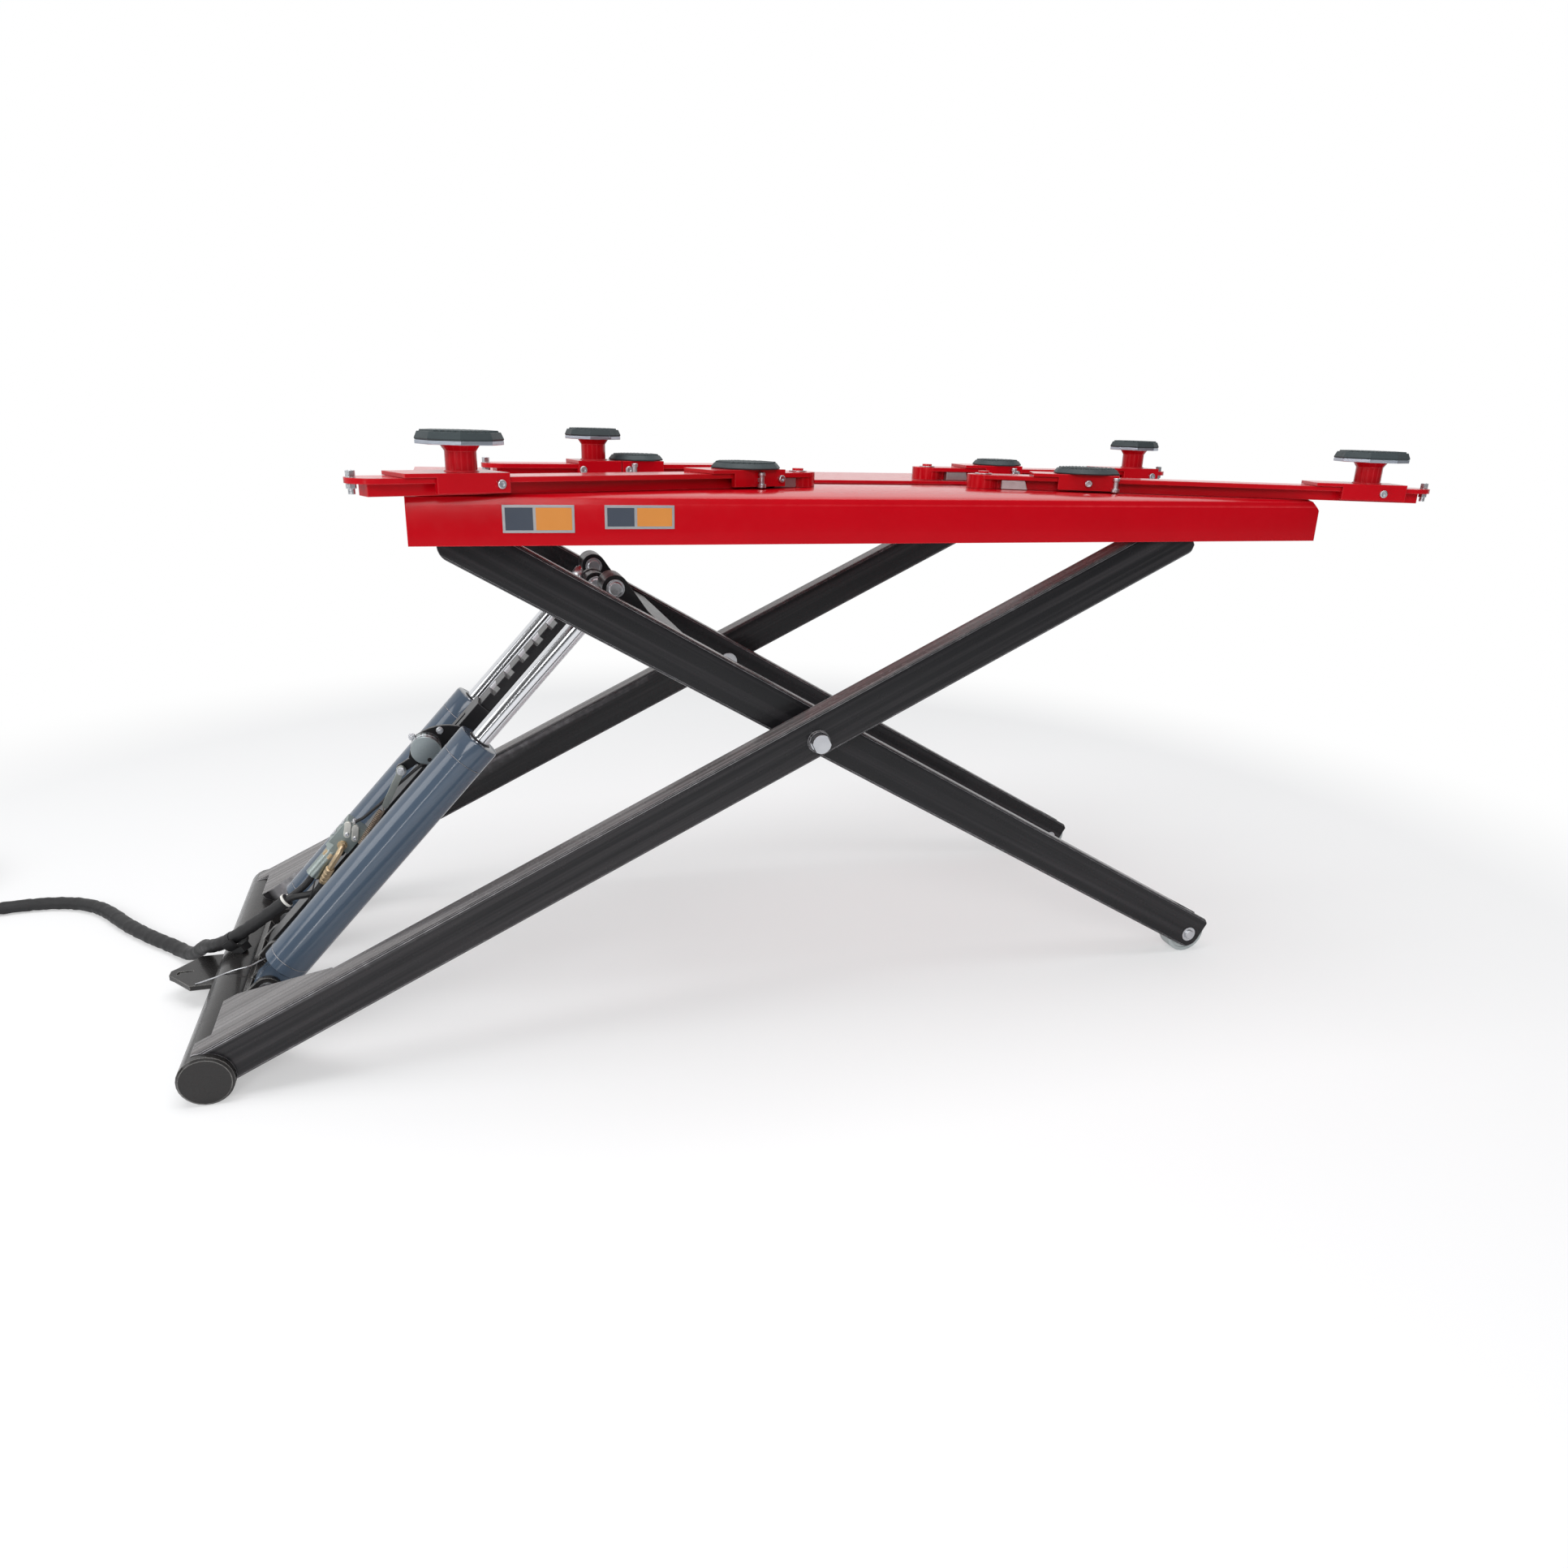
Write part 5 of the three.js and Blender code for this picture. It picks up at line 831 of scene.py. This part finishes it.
def on_sleeve(x, y, z, direction=(0, -1, 0), side=(1, 0, 0)):
    """A place in the sleeve's own frame that faces the near side unless told otherwise."""
    return SLEEVE @ at(x, y, z, direction, side)


def bracket_screws(bm):
    for x, z in ((0.5405, 0.044), (0.499, 0.0752)):
        add_hex(bm, on_sleeve(x, -0.0374, z), 0.011, 0.006)


turned("actuator_cap", DISC, "safety_sleeve",
       [(-0.0295, 0), (-0.0295, 0.0273), (-0.0012, 0.0273), (0.0004, 0.0262), (0.0004, 0)],
       on_sleeve(DISC_X, -0.0675, DISC_Z), 64)
turned("actuator_port", BLACK_PLASTIC, "safety_sleeve",
       [(0, 0), (0, 0.004), (0.0012, 0.004), (0.0012, 0.0022), (0.0002, 0.0022), (0.0002, 0)],
       on_sleeve(0.4905, -0.0679, 0.0275), 24)
made("actuator_seam", ZINC, "safety_sleeve",
     lambda bm: add_ring(bm, on_sleeve(DISC_X, -0.056, DISC_Z), 0.0272, 0.0008, 48))
made("bracket_screws", ZINC, "safety_sleeve", bracket_screws, 0.0003)
made("lever_nut", ZINC, "safety_sleeve",
     lambda bm: add_hex(bm, on_sleeve(0.437, -0.0536, 0.051), 0.013, 0.005), 0.0003)
print("air release dressed")

# %% [markdown]
# ## Valve fittings
#
# The valve block below it has two pale tabs, an elbow with a crimped hose end, a nut and two plugs.


# %% Valve fittings
# Two ways to stand an outline up, with its Y as Z: it is pulled to the near side or to the far side.
UPRIGHT_NEAR = Matrix(((1, 0, 0, 0), (0, 0, -1, 0), (0, 1, 0, 0), (0, 0, 0, 1)))
UPRIGHT_FAR = Matrix(((1, 0, 0, 0), (0, 0, 1, 0), (0, 1, 0, 0), (0, 0, 0, 1)))


def stadium(x0, z0, x1, z1, radius, steps=8):
    """The outline of a strip with round ends."""
    lean = atan2(z1 - z0, x1 - x0)
    ends = []
    for x, z, first in ((x1, z1, -pi / 2), (x0, z0, pi / 2)):
        for i in range(steps + 1):
            angle = lean + first + pi * i / steps
            ends.append((x + radius * cos(angle), z + radius * sin(angle)))
    return ends


def tabs(bm):
    for ends in ((0.2725, 0.0478, 0.2895, 0.0585), (0.2745, 0.032, 0.2925, 0.044)):
        add_plate(bm, stadium(*ends, 0.0062), 0.0393, 0.0445, SLEEVE @ UPRIGHT_NEAR)


def tab_screws(bm):
    for x, z in ((0.2735, 0.0482), (0.2755, 0.0325)):
        add_socket(bm, on_sleeve(x, -0.0446, z), 0.0075, 0.0024)


def elbow(bm):
    add_hex(bm, on_sleeve(0.249, -0.0393, 0.0408), 0.015, 0.007)
    line = metres([(249, -44, 40.8), (248, -52, 40.5), (241, -58, 39.4), (229, -60, 37.4), (212, -56, 34),
                   (200, -49, 30.6)])
    add_tube(bm, [SLEEVE @ p for p in smooth_line(line, 6)], 0.0056, 12)


def crimp(bm, radius=0.0082):
    """The collar on the hose end, with three grooves round it."""
    start, end = (SLEEVE @ p for p in metres([(203, -51, 31.6), (164, -30, 22.1)]))
    long = (end - start).length
    profile = [(0, 0), (0, radius * 0.8), (0.0015, radius)]
    for i in range(1, 4):
        groove = long * i / 4
        profile += [(groove - 0.0018, radius), (groove - 0.0008, radius * 0.9),
                    (groove + 0.0008, radius * 0.9), (groove + 0.0018, radius)]
    profile += [(long - 0.0015, radius), (long, radius * 0.8), (long, 0)]
    add_turned(bm, profile, looking(start, end - start), 24)


def fitting_nut(bm):
    add_plate(bm, polygon(6, 0.0158), 0, 0.012, on_sleeve(0.2215, -0.022, 0.0433, (-1, 0, 0), (0, 1, 0)))


def plugs(bm):
    for x in (0.255, 0.281):
        add_socket(bm, on_sleeve(x, -0.022, 0.0643, (0, 0, 1)), 0.013, 0.0025)


for name, material, slot, draw, edge in (
    ("valve_tabs", TAB, "valve_alloy", tabs, 0.0004),
    ("valve_tab_screws", ZINC, "zinc_steel", tab_screws, 0.0),
    ("elbow_fitting", BRASS, "zinc_steel", elbow, 0.0003),
    ("elbow_crimp", BRASS, "zinc_steel", crimp, 0.0),
    ("fitting_nut", BRASS, "zinc_steel", fitting_nut, 0.0006),
    ("block_plugs", ZINC, "zinc_steel", plugs, 0.0003),
):
    made(name, material, "safety_sleeve", draw, edge)
print("valve dressed")

# %% [markdown]
# ## Air tube and wires
#
# A thin tube runs from the valve up to the disc. Two thin wires leave the bundle: a dark one by the
# sleeve, and a bright one that crosses the base tube to the hitch plate.

# %% Air tube and wires
AIR = metres([(480, -42, 26), (462, -42, 29), (446, -41, 31.6), (421, -40.5, 35), (400.6, -42, 38.1),
              (390.9, -45, 38.8), (363.8, -45, 38.3), (343.6, -42, 41), (317.4, -40.5, 45),
              (306.2, -40.5, 49.5), (296.6, -36, 52.3)])
SIGNAL = metres([(151.9, -40, 233.7), (148, -44, 221), (142, -46, 205), (135, -44, 188), (128, -40, 172),
                 (120.4, -38, 158)])
SENSOR = metres([(60, -18, 78), (42, -69, 90), (26, -96, 94), (5, -102, 93), (-9, -104, 90),
                 (-26, -94, 80), (-53, -71, 62), (-76, -58, 50)])
piped("air_tube", BLACK_PLASTIC, "safety_sleeve",
      [SLEEVE @ p for p in smooth_line(AIR, 5)], 0.003, 10)
turned("air_tube_collar", ZINC, "safety_sleeve", bar(0, 0.008, 0.0046),
       on_sleeve(0.2962, -0.0361, 0.0523, (1, -0.25, 0.1)), 16, 0.0003)
piped("signal_wire", BLACK_PLASTIC, "safety_sleeve", smooth_line(SIGNAL, 5), 0.0014, 8)
piped("sensor_wire", ZINC, "base", smooth_line(SENSOR, 6), 0.0013, 8)
print("tube and wires laid")

# %% [markdown]
# ## Cylinders
#
# Long highlights show every facet, so the two cylinders are drawn again with round sides: a painted
# barrel with its two weld seams, an eye below, a dark wiper at its mouth, and a chromed rod.

# %% Cylinders
CYLINDER_ASIDE = 0.1495
ROD_EYE_AT = 0.96977
SEAMS = (0.062, 0.552)
grooves = [(seam + step, 0.04 - deep) for seam in SEAMS
           for step, deep in ((-0.0012, 0.0), (0.0, 0.001), (0.0012, 0.0))]
BARREL_PROFILE = [(0.04, 0), (0.04, 0.036), (0.0408, 0.0375), (0.044, 0.04), *grooves, (0.594, 0.04),
                  (0.5972, 0.0388), (0.598, 0.036), (0.598, 0.0225), (0.5955, 0.0215), (0.5955, 0)]
WIPER_PROFILE = [(0.595, 0), (0.595, 0.0216), (0.5984, 0.0216), (0.6, 0.0196), (0.6, 0)]
COLLAR_PROFILE = [(0.93, 0), (0.93, 0.0195), (0.9315, 0.0205), (0.9455, 0.0205), (0.947, 0.0195),
                  (0.947, 0)]
for word, side in (("near", -1), ("far", 1)):
    cylinder = slope_place(0.069957, side * CYLINDER_ASIDE, 0.085718, radians(47.782))
    lengthways = cylinder @ at(0, 0, 0, (1, 0, 0), (0, 0, 1))
    barrel_body, rod_body = f"barrel_{word}", f"rod_{word}"

    def barrel(bm):
        add_turned(bm, BARREL_PROFILE, lengthways, 96)
        add_turned(bm, eye(0.02, 0.026), cylinder @ at(0, 0, 0, (0, 1, 0)), 48)
        add_plate(bm, box_outline(0.0, 0.041, -0.0245, 0.0245), -0.0195, 0.0195, cylinder @ UPRIGHT_FAR)

    def seams(bm):
        for seam in SEAMS:
            add_ring(bm, moved(lengthways, z=seam), 0.03975, 0.0005, 96)

    skin = made(f"barrel_skin_{word}", BARREL, barrel_body, barrel, sharp=24)
    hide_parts(barrel_body)
    made(f"barrel_seams_{word}", RIM, barrel_body, seams)
    turned(f"rod_wiper_{word}", BLACK_PLASTIC, barrel_body, WIPER_PROFILE, lengthways, 64)
    shaft = bar(0.52, 0.952, 0.018)
    rod = turned(f"rod_shaft_{word}", CHROME, rod_body, shaft, lengthways, 96)
    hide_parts(rod_body)
    turned(f"rod_eye_{word}", CHARCOAL, rod_body, eye(0.02, 0.024),
           cylinder @ at(ROD_EYE_AT, 0, 0, (0, 1, 0)), 48)
    turned(f"rod_collar_{word}", ZINC, rod_body, COLLAR_PROFILE, lengthways, 64)
print("cylinders drawn")

# %% [markdown]
# ## Pins of the frame
#
# The pins of the upper lugs show as round ends outside them, and each roller pin has a washer.


# %% Pins
def pin_ends(profile, middles):
    """Ends on both sides of each middle: its x, y and z on the inner frame, and how far out they are."""
    def draw(bm):
        for x, y, z, out in middles:
            for way in (-1, 1):
                add_turned(bm, profile, INNER @ at(x, y + way * out, z, (0, way, 0)), 28)
    return draw


for name, edge, profile, middles in (
    ("upper_pin_ends", 0.0003, [(0, 0), (0, 0.0165), (0.0015, 0.0165), (0.0015, 0.0124), (0.0052, 0.0124),
                                (0.0062, 0.0112), (0.0062, 0)],
     [(-0.401, -CYLINDER_ASIDE, 0.051, 0.0325), (-0.401, CYLINDER_ASIDE, 0.051, 0.0325),
      (-0.406, 0.0, 0.03, 0.0325)]),
    ("roller_washers", 0.0, [(0, 0), (0, 0.016), (0.0016, 0.016), (0.0016, 0.0101), (0.0016, 0)],
     [(1.04, 0.0, 0.0, 0.3243)]),
    ("roller_pin_ends", 0.0, [(0, 0), (0, 0.0098), (0.0006, 0.0098), (0.0022, 0.0086), (0.0022, 0)],
     [(1.04, 0.0, 0.0, 0.3281)]),
):
    made(name, ZINC, "inner_frame", pin_ends(profile, middles), edge)
print("pins dressed")

# %% [markdown]
# ## Label plates
#
# The two labels on the near beam are bare two-tone plates in thin rims, with nothing on them.


# %% Label plates
LABELS = [(0.5225, 0.63, 0.9245, 0.966), (0.676, 0.7852, 0.93, 0.966)]
BEAM_FACE = moved(Matrix(), y=-0.4) @ UPRIGHT_NEAR


def label_parts(low, high, first, last, rim):
    """A plate on each label, between two shares of its length and inside a rim of this width."""
    def draw(bm):
        for x0, x1, z0, z1 in LABELS:
            start = x0 + (x1 - x0) * first if first else x0 + rim
            end = x0 + (x1 - x0) * last if last else x1 - rim
            add_plate(bm, box_outline(start, end, z0 + rim, z1 - rim), low, high, BEAM_FACE)
    return draw


for name, material, slot, draw, edge in (
    ("label_rims", RIM, "zinc_steel", label_parts(0.0002, 0.0012, None, None, 0.0), 0.0002),
    ("label_slates", SLATE, "barrel_paint", label_parts(0.0011, 0.0018, None, 0.42, 0.004), 0.0001),
    ("label_ambers", AMBER, "barrel_paint", label_parts(0.0011, 0.0018, 0.46, None, 0.004), 0.0001),
):
    made(name, material, "platform", draw, edge)
print("labels on")

# %% [markdown]
# ## Pads
#
# The pads are slanted rubber with ribs across its top, and a tall one lies on a pale plate.


# %% Pads
EIGHTH, DIAGONAL = 0.4142, 1.4142


def octagon(half, trim=0.0):
    cut = half * EIGHTH - trim * EIGHTH
    half -= trim
    return [(half, -cut), (half, cut), (cut, half), (-cut, half), (-half, cut), (-half, -cut), (-cut, -half),
            (cut, -half)]


def add_rubber(bm, half, low, high, place, pitch=0.0068, deep=0.0024, slant=0.004):
    floor_of_ribs = high - deep
    add_frustum(bm, octagon(half, 0.001), octagon(half), low, low + 0.002, place)
    add_frustum(bm, octagon(half), octagon(half, slant), low + 0.002, floor_of_ribs, place)
    reach = half - slant - 0.001
    count = int(reach * 2 / pitch)
    base, crest = pitch * 0.36, pitch * 0.26
    for k in range(count):
        x = (k - (count - 1) / 2) * pitch
        wide = min(reach, reach * DIAGONAL - abs(x) - 0.002)
        add_frustum(bm, box_outline(x - base, x + base, -wide, wide),
                    box_outline(x - crest, x + crest, -wide + 0.001, wide - 0.001),
                    floor_of_ribs - 0.0004, high, place)


SEAT = POST_TOP + 0.0003
for name, view, place, tip, tall_place, low_place, pad in arm_places():
    made(f"pad_plate_{name}", PLATE, f"tall_pad_{name}",
         lambda bm: add_plate(bm, octagon(pad - 0.0005), SEAT, SEAT + 0.0058, tall_place), 0.0008)
    tall_rubber = made(f"tall_rubber_{name}", PAD_RUBBER, f"tall_pad_{name}",
                       lambda bm: add_rubber(bm, pad, SEAT + 0.006, SEAT + 0.02, tall_place), 0.0004)
    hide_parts(f"tall_pad_{name}")
    low_rubber = made(f"low_rubber_{name}", PAD_RUBBER, f"low_carrier_{name}",
                      lambda bm: add_rubber(bm, pad, CARRIER_TOP + 0.0003, CARRIER_TOP + 0.0123, low_place,
                                            slant=0.006), 0.0004)
    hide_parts(f"low_pad_{name}")
print("pads made")

# %% [markdown]
# ## Blocks and bolts of the arms
#
# Each arm gets its hub blocks and washer, the stop bolt at its tip, a clamp screw in each carrier, a
# standing screw beside the low carrier and a weld at the foot of the post. The carriers clear the
# blocks and the bolts at both ends of their slides.


# %% Blocks and bolts of the arms
# From the middles of the carriers: the clamp screws of the tall and the low one, and the standing screw
SHIFTS = {"near_left": (-0.041, -0.046, 0.003), "far_left": (0.034, 0.03, 0.02),
          "near_right": (0.016, 0.0, 0.05), "far_right": (0.026, 0.03, 0.02)}
BLOCK_START, BLOCK_END, SHORT_BLOCK_END = 0.0335, 0.0835, 0.0445
STANDING_PROFILE = [(0, 0), (0, 0.0078), (0.006, 0.0078), (0.0064, 0.0046), (0.019, 0.0046),
                    (0.02, 0.0062), (0.025, 0.0062), (0.0258, 0.0052), (0.0258, 0)]
for name, view, place, tip, tall_place, low_place, pad in arm_places():
    def blocks(bm):
        end = SHORT_BLOCK_END if name == "far_left" else BLOCK_END
        outline = [(BLOCK_START, 0.0008), (end, 0.0008), (end - 0.006, 0.0178), (BLOCK_START, 0.0178)]
        for y in (-0.035, 0.0174):
            add_plate(bm, outline, y, y + 0.0176, place @ UPRIGHT_FAR)

    def tip_bolt(bm):
        spot = moved(place, tip - 0.0082, 0, ARM_TOP)
        add_hex(bm, spot, 0.012, 0.009, 0.0004)
        add_turned(bm, bar(-0.0228, -0.0085, 0.0048), spot, 16)
        add_plate(bm, polygon(6, 0.0075), -0.015, -0.0086, spot)

    def clamp(carrier, shift):
        spot = moved(carrier, shift, view * 0.0434, 0.0165) @ at(0, 0, 0, (0, view, 0))
        return lambda bm: add_socket(bm, spot, 0.0135, 0.0052)

    def standing(bm):
        spot = moved(low_place, SHIFTS[name][2], view * 0.0502, 0.003)
        add_turned(bm, STANDING_PROFILE, spot, 20)
        tongue = sorted((view * -0.007, view * -0.003))
        add_plate(bm, box_outline(-0.004, 0.004, *tongue), 0.009, 0.016, spot)

    for word, material, body, draw, edge in (
        ("hub_blocks", BLOCK, "arm", blocks, 0.001),
        ("hub_washer", ZINC, "arm",
         lambda bm: add_turned(bm, bar(0, 0.0018, 0.0165), moved(place, z=ARM_TOP + 0.0001), 28), 0.0003),
        ("tip_bolt", ZINC, "arm", tip_bolt, 0.0003),
        ("tall_clamp", ZINC, "tall_carrier", clamp(tall_place, SHIFTS[name][0]), 0.0003),
        ("low_clamp", ZINC, "low_carrier", clamp(low_place, SHIFTS[name][1]), 0.0003),
        ("standing_screw", ZINC, "low_carrier", standing, 0.0003),
    ):
        made(f"{word}_{name}", material, f"{body}_{name}", draw, edge)
    made(f"post_weld_{name}", RED, f"tall_carrier_{name}",
         lambda bm: add_ring(bm, moved(tall_place, z=CARRIER_TOP), 0.0235, 0.0022, 40), sharp=60)
print("arms dressed")

# %% [markdown]
# ## Floor
#
# The floor takes the soft shadows of the photograph. For the camera it glows a little, and further out
# it is plain white, so that no horizon shows behind the platform.


# %% Floor
REACH = 20.0
FLOOR_MIDDLE = (0.9, 0.1, 0.0)
PALE_WITHIN, WHITE_BEYOND, GLOW = 1.5, 2.9, 0.42


def make_floor():
    bm = bmesh.new()
    add_plate(bm, box_outline(-REACH, REACH, -REACH, REACH), -0.05, 0.0)
    mesh = bpy.data.meshes.new("floor")
    bm.to_mesh(mesh)
    bm.free()
    floor = add_object("floor", mesh)
    material, tree, shader = new_material("studio floor")
    tree.fill(shader, Base_Color=(0.96, 0.96, 0.965), Roughness=0.8, Specular_IOR_Level=0.1)
    place = tree.add("TexCoord").outputs["Object"]
    away = tree.add("VectorMath", {"operation": "DISTANCE"}, i0=place, i1=FLOOR_MIDDLE).outputs["Value"]
    far = tree.add("MapRange", {"interpolation_type": "SMOOTHSTEP"}, Value=away, From_Min=PALE_WITHIN,
                   From_Max=WHITE_BEYOND).outputs[0]
    white = tree.add("Emission", Color=(1.0, 1.0, 1.0), Strength=1.0)
    seen = tree.add("LightPath").outputs["Is Camera Ray"]
    share = tree.math("MULTIPLY", tree.math("MAXIMUM", far, GLOW), seen)
    mixed = tree.add("MixShader", i0=share, i1=shader.outputs[0], i2=white.outputs[0])
    tree.fill(tree.tree.nodes["Material Output"], Surface=mixed.outputs[0])
    mesh.materials.append(material)


make_floor()
print("floor laid")

# %% [markdown]
# ## Light and backdrop
#
# Three soft boxes light the lift at a plain level, and a thin one along the slope of the cylinders
# draws their long pale line. The camera sees plain white behind. Metal and gloss see that white behind
# the lift and overhead, and a dark studio on the camera's side, which gives chrome its streaks and keeps
# the charcoal dark.


# %% Light and backdrop
def add_softbox(name, place, target, size, power, side=(1, 0, 0)):
    light = bpy.data.lights.new(name, "AREA")
    light.shape = "RECTANGLE"
    light.size, light.size_y = size
    light.energy = power
    add_object(name, light).matrix_world = looking(place, Vector(place) - Vector(target), side)


MIDDLE = (1.0, 0.0, 0.5)
add_softbox("overhead", (0.6, -0.3, 4.2), MIDDLE, (3.6, 2.4), 95)
add_softbox("front", (-0.4, -5.0, 2.8), MIDDLE, (3.5, 1.6), 105)
add_softbox("left", (-3.4, -1.0, 2.2), MIDDLE, (1.6, 2.2), 40)
add_softbox("line", (-0.66, -1.99, 0.45), (0.3, -0.15, 0.35), (1.1, 0.13), 3.5, (0.672, 0, 0.741))

world = bpy.data.worlds.new("studio")
bpy.context.scene.world = world
world.use_nodes = True
sky = Tree(world.node_tree)
ray = sky.add("LightPath").outputs
way = sky.add("SeparateXYZ", Vector=sky.add("TexCoord").outputs["Generated"]).outputs
behind = sky.ramp(way["Y"], [(0.02, 0.07), (0.14, 1.0)])
above = sky.ramp(way["Z"], [(0.0, 0.0), (0.3, 0.02), (0.62, 0.3), (0.9, 0.9)])
bands = sky.math("MAXIMUM", behind, above)
mirror = sky.math("MAXIMUM", ray["Is Glossy Ray"], ray["Is Transmission Ray"])
room = sky.mix(mirror, (0.4, 0.41, 0.42), bands)
backdrop = sky.mix(ray["Is Camera Ray"], room, (1.0, 1.0, 1.0))
sky.fill(world.node_tree.nodes["Background"], Color=backdrop, Strength=1.0)
bpy.context.scene.view_settings.view_transform = "Standard"
print("stage ready")
